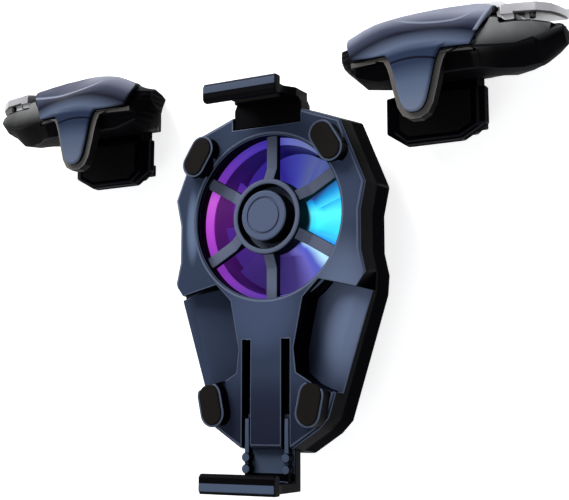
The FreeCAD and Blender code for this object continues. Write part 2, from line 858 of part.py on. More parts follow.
def fan_rotor():
    """The cup over the motor and seven pitched blades."""
    body = new_body("rotor_cup")
    inner = s.cup_r - s.cup_wall
    turn(body, [(s.shaft_r, cup_top - s.cup_wall - 0.9), (1.7, cup_top - s.cup_wall - 0.9),
                (1.7, cup_top - s.cup_wall), (inner, cup_top - s.cup_wall), (inner, cup_low), (s.cup_r, cup_low),
                (s.cup_r, cup_top - 0.7), (s.cup_r - 0.7, cup_top), (0, cup_top),
                (0, cup_top - s.cup_wall), (s.shaft_r, cup_top - s.cup_wall)])
    low = cup_low + 0.4
    sections = []
    for radius, sweep, rise in ((s.cup_r, 2.6, s.blade_rise + 0.6), (s.rotor_r, 4.4, s.blade_rise - 0.8)):
        profile = [(-sweep, low), (-sweep + 1.0, low), (sweep, low + rise - s.blade_thick),
                   (sweep, low + rise), (sweep - 1.0, low + rise), (-sweep, low + s.blade_thick)]
        flat = math.sqrt(radius.value ** 2 - sweep ** 2) - 0.15
        sections.append([Vector(flat, y, number(z)) for y, z in profile])
    blades = []
    for index in range(7):
        blade = skin("blade", sections)
        blade.Placement = Placement(Vector(0, 0, 0), Rotation(Vector(0, 0, 1), 360.0 / 7 * (index + 0.5)))
        blades.append(blade)
    whole = doc.addObject("Part::MultiFuse", "fan_rotor")
    whole.Shapes = [body] + blades
    return keep(whole, "fan_rotor")


# Cooler: arms

brake_low = s.parting_height - 1.4
arm_low = s.parting_height + s.slide_gap
board_low = s.usb_z - s.usb_tall / 2 - s.board_thick
lip_top = s.cooler_depth + s.lip_height


def neck(body, inner_y, outer_y, root_half, low):
    """The upright plate of an arm: narrow at mid height and spread to the lip."""
    order = [(root_half, low), (root_half, face + 0.5), (s.arm_outer_half, face + 3),
             (s.arm_outer_half + 0.2, lip_top - 5), (s.lip_half, lip_top - s.lip_thick), (s.lip_half, lip_top - 0.3)]
    outline = order + [(-plain(x), z) for x, z in reversed(order)]
    add_prism(body, outline, inner_y, outer_y, role="XZ_Plane")


def lip(body, inner_y, outer_y):
    """The hooked lip that goes over the phone's edge, its corners chamfered."""
    way = 1 if number(outer_y) > number(inner_y) else -1
    cut = way * s.lip_chamfer
    low = lip_top - s.lip_thick
    tip = inner_y - way * s.lip_reach
    outline = [(outer_y, low), (outer_y, lip_top - s.lip_chamfer), (outer_y - cut, lip_top), (tip + cut, lip_top),
               (tip, lip_top - s.lip_chamfer), (tip, low + s.lip_chamfer), (tip + cut, low)]
    add_prism(body, outline, -s.lip_half, s.lip_half, role="YZ_Plane")


def bottom_arm():
    body = new_body("bottom_arm")
    shoulder = s.end_reach + 1.5
    plate = [(s.arm_inner_half, s.arm_inner_end), (s.arm_inner_half, shoulder + 0.6), (s.arm_outer_half, shoulder),
             (s.arm_outer_half, s.low_neck_y - 0.3)]
    add_prism(body, both_sides(plate), arm_low, arm_low + s.arm_thick)
    half = s.rail_width / 2
    for way in (1, -1):
        left = way * s.slot_x - half
        right = way * s.slot_x + half
        rail = [(left, s.rail_top), (right, s.rail_top), (right, s.low_neck_y - 0.3), (left, s.low_neck_y - 0.3)]
        add_prism(body, rail, arm_low + s.arm_thick - 0.2, face - s.rail_sink)
        for reach in (s.end_reach - 1.9, s.end_reach - 4.2):
            add_disc(body, (way * s.slot_x, reach), [0.95], arm_low + s.arm_thick - 0.2, face - s.rail_sink + 0.5)
    neck(body, -s.low_neck_y, -s.low_neck_y + s.neck_thick, s.arm_outer_half, arm_low)
    lip(body, s.low_neck_y, s.low_neck_y - s.neck_thick)
    return keep(body, "bottom_arm")


def top_arm():
    body = new_body("top_arm")
    foot = [(s.top_foot_half, s.top_foot_reach), (s.top_foot_half, s.top_neck_y - 1),
            (s.top_foot_half - 0.6, s.top_neck_y + 0.3)]
    foot = [(-plain(x), y) for x, y in reversed(foot)] + foot
    add_prism(body, foot, s.parting_height, face - 0.5)
    neck(body, -s.top_neck_y - s.neck_thick, -s.top_neck_y, s.top_foot_half - 0.6, plain(s.parting_height))
    lip(body, s.top_neck_y, s.top_neck_y + s.neck_thick)
    for way in (1, -1):
        cut_disc(body, (way * arm_screw_x, arm_screw_y), [screw_r + s.rod_clearance], s.parting_height - 0.1,
                 s.parting_height + 3.2)
    return keep(body, "top_arm")


def arm_liners():
    """Thin rubber faces on the insides of the necks."""
    half = s.arm_outer_half - 0.6
    low = face + 3.2
    high = lip_top - s.lip_thick - 1.2
    top = new_body("top_arm_liner")
    add_prism(top, [(-half, low), (half, low), (half, high), (-half, high)], -s.top_neck_y,
              -s.top_neck_y + s.liner_thick, role="XZ_Plane")
    bottom = new_body("bottom_arm_liner")
    add_prism(bottom, [(-half, low), (half, low), (half, high), (-half, high)],
              -s.low_neck_y - s.liner_thick, -s.low_neck_y, role="XZ_Plane")
    return [keep(top, "top_arm_liner"), keep(bottom, "bottom_arm_liner")]


def arm_brake():
    return keep(box("arm_brake", (-3.0, -42.6, brake_low), (3.0, -35.4, arm_low)), "arm_brake")


def screw(name, x, y, seat, length):
    """A pan head on a plain shank, the head below the seat."""
    head = rod(name + "_head", (x, y, seat - 1.2), screw_head_r, 1.2)
    shank = rod(name + "_shank", (x, y, seat - 0.2), screw_r, length + 0.2)
    return combine("Fuse", name, head, shank)


def screws():
    cover = [screw("cover_screw", x, y, screw_seat, 11.6) for x, y in screw_places()]
    arm = [screw("arm_screw", way * arm_screw_x, arm_screw_y, 7.0, 8.8) for way in (1, -1)]
    return [keep(group("cover_screws", cover), "cover_screws"), keep(group("arm_screws", arm), "arm_screws")]


def rubber_pads():
    rim = s.pad_rim + 0.05
    low = face + s.pad_height - s.pad_proud - s.pad_pocket
    pads = [oblong("pad_" + name, place, s.pad_length - 2 * rim, s.pad_width - 2 * rim, tilt, low, face + s.pad_height)
            for name, place, tilt in pad_places()]
    return keep(group("rubber_pads", pads), "rubber_pads")


# Cooler: electronics


def control_board():
    body = new_body("control_board")
    outline = [(-19.0, -16.2), (-8.6, -16.2), (-8.6, -31.0), (-15.2, -31.0)]
    add_prism(body, outline, board_low, board_low + s.board_thick)
    return keep(body, "control_board")


def board_parts():
    level = board_low + s.board_thick
    chip = box("driver_chip", (-13.2, -29.6, level), (-9.6, -26.0, level + 0.8))
    coil = rod("board_coil", (-11.2, -23.6, level), 1.5, 0.9)
    tabs = [box("board_tab", (-12.6 + 1.5 * index, -18.6, level), (-11.8 + 1.5 * index, -17.0, level + 0.6))
            for index in range(3)]
    return keep(group("board_parts", [chip, coil] + tabs), "board_parts")


def usb_socket():
    half = s.usb_width / 2
    up = s.usb_tall / 2
    mouth = -plain(s.panel_top_half) + 0.2
    shell = box("usb_shell", (mouth, s.usb_y - half, s.usb_z - up), (mouth + s.usb_deep, s.usb_y + half, s.usb_z + up))
    bore = box("usb_bore", (mouth - 1, s.usb_y - half + 0.3, s.usb_z - up + 0.3),
               (mouth + s.usb_deep - 1.2, s.usb_y + half - 0.3, s.usb_z + up - 0.3))
    tongue = box("usb_tongue", (mouth + 0.8, s.usb_y - 3.3, s.usb_z - 0.35),
                 (mouth + s.usb_deep - 0.6, s.usb_y + 3.3, s.usb_z + 0.35))
    hollow = combine("Cut", "usb_hollow", shell, bore)
    return keep(combine("Fuse", "usb_socket", hollow, tongue), "usb_socket")



# Trigger units: modelled as the right one about its own origin


def across(name, stations):
    """A solid through upright sections; stations holds (u, points) with points as (v, w)."""
    return skin(name, [[Vector(number(u), number(v), number(w)) for v, w in points] for u, points in stations])


shell_edge = 15.0
housing_back = 1.2
housing_under = 11.0
underside_fold = 12.0
cover_low = 14.2
lever_deck = 23.2
tongue_x = 0.4
tongue_half = [(6.4, 15.6), (5.5, 14.6), (4.75, 13.2), (4.2, 11.5), (3.4, 8.0), (2.6, 5.0), (1.8, 3.6), (0.7, 3.0)]
rim_back = s.slot_front + s.pad_skin + s.gap
rim_front = s.tongue_front - s.shell_thick - s.gap
touch_v = 7.4
pivot_u = -7.0
pivot_v = 22.7
press_angle = 2.5
jaw_fold = 6.6
block_half = 8.75
block_top = 14.4
jaw_rear = 4.4
tab_rear = 2.7
carriage_half = 4.6
carriage_top = 18.7
carriage_rear = 5.4
rod_places = [(-2.8, 16.4), (2.8, 16.4)]
rear_head_r = 1.3
rear_screw_places = [(-6.5, 18.8), (7.0, 18.8)]
switch_u = 11.5
switch_w = 6.6
switch_half = 2.0
switch_low = 18.4
switch_top = 22.2
plunger_top = 25.35
plunger_r = 0.8
leg_low = 19.2
post_u = 22.6
post_w = 17.6


def tongue_outline(grow):
    """The tongue that hangs over the screen side, seen from the front."""
    whole = both_sides(list(tongue_half))
    if number(grow):
        whole = offset_outline(whole, grow)
        whole = [(x, min(number(y), shell_edge - 0.3)) for x, y in whole]
    return [(x + tongue_x, y) for x, y in whole]


def shell_face():
    """The shell's outer surface through lines that run from its lower edge over its ridge to its back."""
    lines = [
        [(-12.9, 15.3, 21.5), (-13.9, 17.5, 21.1), (-14.7, 19.7, 19.7), (-14.4, 20.6, 18.6), (-13.2, 20.6, 16.0)],
        [(-9.5, 15.0, 22.0), (-9.9, 18.4, 21.6), (-10.2, 21.6, 20.0), (-10.4, 22.6, 18.3), (-10.2, 22.6, 15.5)],
        [(-6.0, 14.9, 22.4), (-6.2, 18.6, 21.9), (-6.3, 22.2, 19.6), (-6.5, 23.8, 17.4), (-6.5, 24.0, 14.5)],
        [(-2.0, 14.9, 22.6), (-2.0, 18.5, 22.0), (-2.0, 22.9, 17.8), (-2.0, 25.0, 15.5), (-2.0, 25.4, 12.0)],
        [(3.0, 14.9, 22.4), (3.0, 18.2, 21.7), (3.0, 21.8, 18.0), (3.0, 26.0, 13.4), (3.0, 26.4, 10.4)],
        [(8.0, 14.9, 21.8), (8.0, 18.0, 21.0), (8.0, 21.2, 17.8), (8.0, 26.2, 12.2), (8.0, 26.5, 9.6)],
        [(10.2, 15.0, 21.3), (11.0, 18.0, 20.6), (11.6, 21.9, 18.0), (11.6, 25.6, 13.4), (11.6, 25.9, 10.6)],
        [(11.4, 15.0, 21.0), (12.9, 18.0, 20.3), (14.7, 21.5, 19.1), (15.2, 23.2, 16.9), (15.4, 23.0, 14.5)],
    ]
    poles = [[Vector(*place) for place in line] for line in lines]
    for line in poles:
        for index, place in enumerate([Vector(point) for point in line]):
            if 0 < index < len(line) - 1:
                line[index] = place + (place - (line[index - 1] + line[index + 1]) / 2) / 3
    surface = Part.BSplineSurface()
    counts = [3] + [1] * (len(poles) - 3) + [3], [3] + [1] * (len(poles[0]) - 3) + [3]
    knots = [list(range(len(count))) for count in counts]
    surface.buildFromPolesMultsKnots(poles, counts[0], counts[1], knots[0], knots[1], False, False, 2, 2)
    return surface.toShape()


def stretch(line):
    """Lengthens a line of points a little at both ends."""
    for end, beside in ((0, 1), (-1, -2)):
        line[end] = line[end] + (line[end] - line[beside]).normalize() * s.slide_gap.value


def surface_grid(face, depth, spare):
    """Rows of points at one distance above the face, reaching a little past it where spare is set."""
    lines = 14
    points = 12
    low_p, high_p, low_q, high_q = face.ParameterRange
    grid = []
    for line in range(lines + 1):
        p = low_p + (high_p - low_p) * line / lines
        places = [(p, low_q + (high_q - low_q) * point / points) for point in range(points + 1)]
        grid.append([face.valueAt(*place) + face.normalAt(*place) * number(depth) for place in places])
    if not spare:
        return grid
    for row in grid:
        stretch(row)
    columns = [list(column) for column in zip(*grid)]
    for column in columns:
        stretch(column)
    return [list(row) for row in zip(*columns)]


def border(grid):
    """The grid's outermost points, once round."""
    return grid[0] + [row[-1] for row in grid[1:]] + grid[-1][-2::-1] + [row[0] for row in grid[-2:0:-1]]


def shell_sheet(name, above, below, spare=False):
    """A sheet in flat facets from one distance above the shell's outer surface to one below it."""
    face = shell_face()
    outer = surface_grid(face, above, spare)
    inner = surface_grid(face, -below, spare)
    faces = []
    for grid, way in ((outer, 1), (inner, -1)):
        for near, far in zip(grid, grid[1:]):
            for index in range(len(near) - 1):
                faces += flat_faces([near[index], far[index], far[index + 1], near[index + 1]][::way])
    outer_edge = border(outer)
    inner_edge = border(inner)
    for index in range(len(outer_edge)):
        after = (index + 1) % len(outer_edge)
        faces += flat_faces([outer_edge[index], outer_edge[after], inner_edge[after], inner_edge[index]])
    sheet = doc.addObject("Part::Feature", name)
    sheet.Shape = closed_solid(faces)
    return sheet


def shell_room():
    """The shell with a little clearance inside it and free space outside it."""
    return shell_sheet("shell_room", 1.0, s.shell_thick + s.gap, spare=True)


def trigger_shell():
    """The painted cover: a saddle that curves over the top and a tongue down the front."""
    tongue = new_body("shell_tongue")
    add_prism(tongue, tongue_outline(0), s.tongue_front - s.shell_thick, s.tongue_front)
    bevel(tongue, at_height(s.tongue_front), 0.3)
    return combine("Fuse", "trigger_shell", shell_sheet("shell_saddle", 0, s.shell_thick), tongue)


def trigger_rim():
    """The grey frame that shows as a narrow edge below the shell and round its tongue."""
    tongue = new_body("rim_tongue")
    add_prism(tongue, tongue_outline(s.rim_width), rim_back, rim_front)
    heights = [(-13.6, 20.3), (-8.0, 21.1), (-3.0, 21.2), (4.0, 21.2), (8.0, 21.0), (11.9, 20.1)]
    low = shell_edge - 1.0
    high = shell_edge + 0.1
    bar = across("rim_bar", [(u, [(low, front - 2.2), (high, front - 2.2), (high, front), (low, front - 0.3)])
                             for u, front in heights])
    whole = combine("Fuse", "rim_whole", tongue, bar)
    tools = doc.addObject("Part::MultiFuse", "rim_tools")
    board = box("board_space", (tongue_x - 1.8, 4.6, 19.9), (tongue_x + 1.8, 13.4, 20.9))
    tools.Shapes = [board, rod("stem_hole", (tongue_x, touch_v, 18.0), 0.9, 2.5), shell_room()]
    return combine("Cut", "trigger_rim", whole, tools)


def housing_sections():
    """Each section runs from the rear lower corner over the deck and down the front to the underside."""
    back = housing_back
    under = housing_under
    deck = lever_deck
    fold = underside_fold
    return [
        (-17.2, [(15.9, 12.4), (18.2, 11.2), (19.1, 13.0), (19.6, 15.2),
                 (19.0, 16.8), (16.9, 16.8), (15.8, 15.6), (15.4, 13.8)]),
        (-13.2, [(12.7, 8.6), (20.4, 7.2), (21.0, 10.2), (20.6, 15.4),
                 (19.3, 18.0), (15.3, 19.9), (12.6, 17.8), (11.6, 12.5)]),
        (-8.4, [(14.0, back), (deck, back), (deck, 9.6), (22.1, 15.2),
                (21.2, 18.2), (15.0, 20.6), (under, 18.3), (under, fold)]),
        (-2.0, [(14.0, back), (deck, back), (deck, 9.6), (23.7, 14.0),
                (21.6, 16.8), (15.0, 21.0), (under, 18.3), (under, fold)]),
        (4.0, [(14.0, back), (deck, back), (24.2, 9.7), (24.5, 12.2),
               (20.8, 16.8), (15.0, 21.0), (under, 18.3), (under, fold)]),
        (9.6, [(14.0, back), (deck, back), (24.2, 9.7), (24.3, 11.6),
               (20.6, 16.9), (15.0, 20.2), (under, 18.3), (under, fold)]),
        (12.4, [(13.4, 3.2), (22.6, 3.2), (23.4, 9.6), (23.2, 12.6),
                (20.9, 18.7), (14.6, 20.3), (under, 17.8), (under, fold)]),
        (15.8, [(12.6, 4.6), (21.0, 4.6), (21.8, 9.6), (21.2, 14.5),
                (20.2, 19.0), (14.2, 20.1), (10.9, 15.4), (under, 11.5)]),
        (19.5, [(12.6, 6.4), (19.2, 6.4), (19.8, 9.6), (19.4, 14.5),
                (18.7, 19.4), (14.2, 18.9), (10.9, 14.0), (11.2, 11.0)]),
        (22.6, [(13.2, 7.6), (18.2, 7.6), (18.8, 9.8), (18.7, 14.0),
                (18.3, 19.2), (15.2, 17.9), (11.5, 13.2), (11.8, 10.8)]),
        (25.4, [(14.4, 8.8), (17.6, 8.8), (18.2, 10.4), (18.2, 14.0),
                (17.9, 17.8), (16.3, 17.2), (13.8, 13.0), (13.8, 11.0)]),
        (27.8, [(15.6, 10.6), (17.0, 10.6), (17.5, 11.6), (17.6, 13.5),
                (17.6, 15.9), (17.0, 15.8), (15.2, 13.6), (15.0, 12.0)]),
    ]


def trigger_housing(rim):
    form = across("housing_wing", housing_sections())
    lugs = []
    for low, high in ((housing_back, housing_back + 1.2), (8.7, 9.6)):
        lug = new_body("lever_lug")
        top = pivot_v + 1.3
        add_prism(lug, [(pivot_u - 1.5, pivot_v - 2), (pivot_u + 1.5, pivot_v - 2), (pivot_u + 1.3, pivot_v + 0.8),
                        (pivot_u + 0.7, top), (pivot_u - 0.7, top), (pivot_u - 1.3, pivot_v + 0.8)], low, high)
        lugs.append(lug)
    whole = doc.addObject("Part::MultiFuse", "housing_solid")
    whole.Shapes = [form] + lugs
    side = carriage_half + s.slide_gap
    tools = [
        box("carriage_space", (-side, housing_under - 2, housing_back - 1),
            (side, carriage_top + s.slide_gap, s.slot_back + 0.2)),
        box("jaw_space", (-block_half - s.slide_gap, housing_under - 2, housing_back - 1),
            (block_half + s.slide_gap, block_top + s.slide_gap, s.slot_back)),
        box("hub_space", (pivot_u - 1.8, pivot_v - 1.6, housing_back + 1.2), (pivot_u + 2.4, 30.0, 8.7)),
        box("board_gap", (tongue_x - 1.8, 4.6, 19.0), (tongue_x + 1.8, 13.4, 22.0)),
        box("switch_space", (switch_u - switch_half - 0.1, switch_low - 0.1, switch_w - 2.3),
            (switch_u + switch_half + 0.1, 26.0, switch_w + 2.3)),
        box("leg_space", (16.5, leg_low - 1.5, 11.6), (20.0, 26.0, 18.5)),
        rod("post_space", (post_u, 17.4, post_w), 0.85, 6.0, Vector(0, 1, 0)),
        rod("pin_hole", (pivot_u, pivot_v, 0), s.pin_r + 0.02, 10.5),
    ]
    tools += [rod("rod_seat", (u, v, 1), s.rod_r + 0.02, 11.5) for u, v in rod_places]
    tools += [rod("rear_screw_hole", (u, v, 0), screw_r + s.rod_clearance, 6.6) for u, v in rear_screw_places]
    cutter = doc.addObject("Part::MultiFuse", "housing_cutter")
    cutter.Shapes = tools + [shell_room(), lever_room(), rim]
    return combine("Cut", "trigger_housing", whole, cutter)


def trigger_rear_cover():
    body = new_body("trigger_rear_cover")
    add_prism(body, [(-8.2, cover_low), (9.4, cover_low), (9.4, lever_deck - 1), (8.4, lever_deck),
                     (-7.2, lever_deck), (-8.2, lever_deck - 1)], 0, housing_back)
    bevel(body, at_height(0), 0.3)
    for u, v in rear_screw_places:
        cut_disc(body, (u, v), [rear_head_r + 0.15], -0.1, housing_back - 0.5)
        cut_disc(body, (u, v), [screw_r + s.rod_clearance], 0, housing_back)
    return body


def trigger_rear_screws():
    parts = []
    for u, v in rear_screw_places:
        head = rod("rear_screw_head", (u, v, 0.05), rear_head_r, housing_back - 0.55)
        shank = rod("rear_screw_shank", (u, v, 0.4), screw_r, 6.0)
        parts.append(combine("Fuse", "rear_screw", head, shank))
    return group("trigger_rear_screws", parts)


def lever_stations():
    """Place along the lever, its thickness, then height and w of its rear and front top edges."""
    thin = s.lever_thick
    thick = s.plate_thick
    return [
        (-5.0, thin, (24.9, 2.8), (24.9, 8.3)),
        (-3.0, thin, (25.9, 2.6), (25.9, 8.8)),
        (0.0, thin, (26.8, 2.4), (26.8, 9.0)),
        (6.0, thin, (27.0, 2.2), (27.0, 9.0)),
        (13.4, thin, (27.0, 3.0), (27.0, 9.0)),
        (15.0, thin, (26.0, 3.8), (26.0, 9.2)),
        (16.2, thin, (24.7, 4.6), (24.3, 9.4)),
        (16.9, thick, (24.4, 5.0), (22.1, 19.4)),
        (20.0, thick, (24.0, 6.0), (22.1, 18.7)),
        (23.5, thick, (23.5, 7.2), (21.8, 18.6)),
        (25.9, thick, (22.8, 8.6), (21.5, 17.2)),
        (27.1, thick, (22.3, 9.8), (21.2, 15.6)),
        (27.8, thick, (22.0, 11.0), (21.1, 13.6)),
    ]


def lever_room():
    """What the lever sweeps through when it is pressed."""
    stations = []
    inward = 0.25
    beside = 0.7
    for u, thick, rear, front in lever_stations():
        drop = thick + (u - pivot_u) * math.sin(math.radians(press_angle)) + 3 * s.gap
        back = rear[1] - beside
        ahead = front[1] + beside
        stations.append((u - inward, [(rear[0] - drop, back), (rear[0], back), (front[0], ahead), (front[0] - drop, ahead)]))
    return across("lever_room", stations)


def trigger_lever():
    """The bright finger lever: a long plate hinged at its inner end, wide at its free end."""
    plate = across("lever_plate", [(u, [(rear[0] - thick, rear[1]), rear, front, (front[0] - thick, front[1])])
                                   for u, thick, rear, front in lever_stations()])
    hub = rod("lever_hub", (pivot_u, pivot_v, 4.2), 1.3, 4.3)
    web = new_body("lever_web")
    add_prism(web, [(pivot_u, pivot_v - 0.9), (pivot_u + 1.2, pivot_v - 0.3), (-4.8, 23.6), (-4.8, 24.6), (-5.4, 24.6),
                    (pivot_u, pivot_v + 1.1)], 4.2, 8.2)
    leg = box("lever_leg", (16.9, leg_low, 12.0), (19.6, 21.6, 18.2))
    post = rod("lever_post", (post_u, 19.0, post_w), 0.6, 1.6, Vector(0, 1, 0))
    whole = doc.addObject("Part::MultiFuse", "lever_solid")
    whole.Shapes = [plate, hub, web, leg, post]
    bore = rod("lever_bore", (pivot_u, pivot_v, 0), s.pin_r + s.pin_clearance, 12)
    return combine("Cut", "trigger_lever", whole, bore)


def lever_pin():
    return rod("lever_pin", (pivot_u, pivot_v, housing_back + 0.1), s.pin_r, 8.3)


def tube(name, centre, outer, inner, length, axis=Vector(0, 0, 1)):
    return combine("Cut", name, rod(name + "_outer", centre, outer, length, axis),
                   rod(name + "_inner", centre, inner, length, axis))


def lever_spring():
    """The torsion spring round the pin, as its closed outer form."""
    return tube("lever_spring", (pivot_u, pivot_v, 2.5), 1.25, s.pin_r + 0.03, 1.6)


def micro_switch():
    case = box("switch_case", (switch_u - switch_half, switch_low, switch_w - 2.2),
               (switch_u + switch_half, switch_top, switch_w + 2.2))
    hole = rod("plunger_hole", (switch_u, switch_top - 1.8, switch_w), plunger_r + s.pin_clearance, 3.0,
               Vector(0, 1, 0))
    return combine("Cut", "micro_switch", case, hole)


def switch_plunger():
    return rod("switch_plunger", (switch_u, switch_top - 0.3, switch_w), plunger_r,
               plunger_top - switch_top + 0.3, Vector(0, 1, 0))


def touch_pad():
    """The conductive pad that taps the screen, with its stem to the contact board."""
    disc = rod("touch_disc", (tongue_x, touch_v, s.slot_front), 2.2, s.pad_skin)
    stem = rod("touch_stem", (tongue_x, touch_v, s.slot_front + 0.2), 0.8, 19.95 - s.slot_front - 0.2)
    return combine("Fuse", "touch_pad", disc, stem)


def contact_board():
    return box("contact_board", (tongue_x - 1.6, 4.9, 20.0), (tongue_x + 1.6, 13.1, 20.7))


def clamp_jaw():
    """The block behind the phone with its carriage on the guide rods and a finger tab at the rear."""
    front = s.slot_back - s.pad_skin
    top = housing_under - 0.6
    wide = [(-11.0, 2.9), (-6.8, 0.1), (5.2, 0.1), (10.2, 2.9), (10.2, top), (-11.0, top)]
    narrow = [(-block_half, 2.6), (-6.4, 0.6), (4.9, 0.6), (block_half, 2.6), (block_half, top), (-block_half, top)]
    face_block = stack("jaw_face", [(jaw_fold, wide), (front - 0.8, wide), (front, narrow)])
    body = new_body("clamp_block")
    half = block_half
    add_prism(body, [(-half, 3.0), (-half + 1.6, 1.6), (half - 1.6, 1.6), (half, 3.0), (half, block_top),
                     (-half, block_top)], jaw_rear, front - 0.6)
    add_prism(body, [(-half, 2.8), (half, 2.8), (half, 5.5), (-half, 5.5)], tab_rear, jaw_rear + 0.1)
    half = carriage_half
    add_prism(body, [(-half, block_top - 0.4), (half, block_top - 0.4), (half, carriage_top), (-half, carriage_top)],
              carriage_rear, front - 0.6)
    for u, v in rod_places:
        cut_disc(body, (u, v), [s.rod_r + s.rod_clearance], jaw_rear - 0.5, front)
    return combine("Fuse", "clamp_jaw", body, face_block)


def jaw_pad():
    body = new_body("jaw_pad")
    add_prism(body, [(-7.6, 3.2), (-5.8, 1.6), (4.4, 1.6), (7.4, 3.2), (7.4, 9.8), (-7.6, 9.8)],
              s.slot_back - s.pad_skin, s.slot_back)
    return body


def guide_rods():
    return group("guide_rods", [rod("guide_rod", (u, v, housing_back + 0.05), s.rod_r, 11.0) for u, v in rod_places])


def clamp_springs():
    return group("clamp_springs", [tube("clamp_spring", (u, v, housing_back + 0.1), 1.5, 1.05,
                                        carriage_rear - housing_back - 0.2) for u, v in rod_places])


def place_unit(piece):
    """Puts a right-hand piece in its place."""
    holder = doc.addObject("Part::Compound", piece.Name + "_right")
    holder.Links = [piece]
    bind(holder, "Placement.Base.x", s.unit_right_x)
    bind(holder, "Placement.Base.y", s.unit_right_y)
    return holder


def trigger_units():
    rim = trigger_rim()
    pieces = {
        "shell": trigger_shell(),
        "rim": rim,
        "housing": trigger_housing(rim),
        "rear_cover": trigger_rear_cover(),
        "rear_screws": trigger_rear_screws(),
        "lever": trigger_lever(),
        "lever_pin": lever_pin(),
        "lever_spring": lever_spring(),
        "micro_switch": micro_switch(),
        "switch_plunger": switch_plunger(),
        "touch_pad": touch_pad(),
        "contact_board": contact_board(),
        "clamp_jaw": clamp_jaw(),
        "jaw_pad": jaw_pad(),
        "guide_rods": guide_rods(),
        "clamp_springs": clamp_springs(),
    }
    for name, piece in pieces.items():
        right = place_unit(piece)
        keep(right, "right_" + name)
        image = flip(piece.Name + "_image", piece)
        left = doc.addObject("Part::Compound", piece.Name + "_left")
        left.Links = [image]
        bind(left, "Placement.Base.x", s.unit_left_x)
        bind(left, "Placement.Base.y", s.unit_left_y)
        keep(left, "left_" + name)


# Build, check and write every sub-part

for make in (front_cover, rear_housing, fan_guard, hub_cap, light_ring, led_board, leds, fan_duct, fan_bearing,
             fan_shaft, fan_stator, stator_coils, rotor_magnet, fan_rotor, bottom_arm, top_arm, arm_liners, arm_brake,
             screws, rubber_pads, control_board, board_parts, usb_socket, trigger_units):
    make()
doc.recompute()

for thing in doc.Objects:
    if "Invalid" in thing.State or "Error" in thing.State:
        raise RuntimeError("%s failed to build" % thing.Name)
os.makedirs("parts", exist_ok=True)
for piece in exported:
    shape = piece.Shape
    if shape.isNull() or not shape.isValid() or not shape.Solids:
        raise RuntimeError("%s is not a sound solid" % piece.Label)
    shape.exportStep("parts/%s.step" % piece.Label)
    print("%-20s %2d solids %9.2f mm3" % (piece.Label, len(shape.Solids), shape.Volume))
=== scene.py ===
"""Phone game controller with cooling fan: the looks of the cooler and its two shoulder triggers.

The cooler lies on its back in the middle, face up, and a trigger unit lies beside each of its upper
corners. Objects are in metres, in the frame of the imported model: +Z up out of the faces, +Y from the
sliding arm to the fixed arm, the origin on the fan's axis at the cooler's back. Sizes in the classes
are in millimetres and noises in bumps per metre, unless they say otherwise. A Colour is as a screen
shows it, from 0 to 255, and a Linear one is as shaders use it, from 0 to 1.
"""

import json
import logging
import math
from collections.abc import Callable
from dataclasses import dataclass, field
from enum import Enum

import bmesh
import bpy
from mathutils import Matrix, Vector

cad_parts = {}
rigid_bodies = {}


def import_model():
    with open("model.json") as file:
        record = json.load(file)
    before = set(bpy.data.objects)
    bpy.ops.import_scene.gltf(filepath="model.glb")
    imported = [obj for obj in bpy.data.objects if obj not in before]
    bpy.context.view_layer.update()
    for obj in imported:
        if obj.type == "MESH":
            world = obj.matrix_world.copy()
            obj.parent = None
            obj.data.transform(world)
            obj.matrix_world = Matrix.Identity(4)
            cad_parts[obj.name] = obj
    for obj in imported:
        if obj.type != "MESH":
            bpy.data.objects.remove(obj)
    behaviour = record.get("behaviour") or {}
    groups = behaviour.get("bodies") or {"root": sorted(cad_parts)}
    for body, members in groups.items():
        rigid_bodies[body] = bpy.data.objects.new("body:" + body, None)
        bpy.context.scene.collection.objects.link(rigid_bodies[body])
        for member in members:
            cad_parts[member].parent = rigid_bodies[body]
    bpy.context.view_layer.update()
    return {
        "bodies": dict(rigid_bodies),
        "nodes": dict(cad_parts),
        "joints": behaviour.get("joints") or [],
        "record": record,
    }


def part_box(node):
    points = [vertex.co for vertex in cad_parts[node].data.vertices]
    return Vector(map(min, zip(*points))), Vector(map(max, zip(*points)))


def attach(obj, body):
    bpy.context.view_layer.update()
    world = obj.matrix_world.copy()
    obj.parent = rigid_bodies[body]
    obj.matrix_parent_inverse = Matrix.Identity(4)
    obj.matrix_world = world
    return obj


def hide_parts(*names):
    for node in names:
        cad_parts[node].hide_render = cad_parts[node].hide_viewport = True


log = logging.getLogger("controller")
MM = 0.001
Colour = tuple[float, float, float]
Linear = tuple[float, float, float, float]
Range = tuple[float, float]
Tones = tuple[tuple[float, Colour], ...]
BLACK: Linear = (0.0, 0.0, 0.0, 1.0)
WHITE: Linear = (1.0, 1.0, 1.0, 1.0)


class Side(Enum):
    """Which trigger unit."""

    RIGHT = ("right", 34.3, 13.4, 1)
    LEFT = ("left", -47.1, 12.2, -1)

    def __init__(self, word: str, middle: float, foot: float, way: int) -> None:
        """Keeps what tells the two units apart.

        Args:
            word: the unit's name as used for nodes and bodies.
            middle: the place of its middle across the set.
            foot: the place of its shell's foot along the set.
            way: 1 where its outer end points to the right, -1 where it points to the left.
        """
        self.word = word
        self.middle = middle
        self.foot = foot
        self.way = way


# Shading


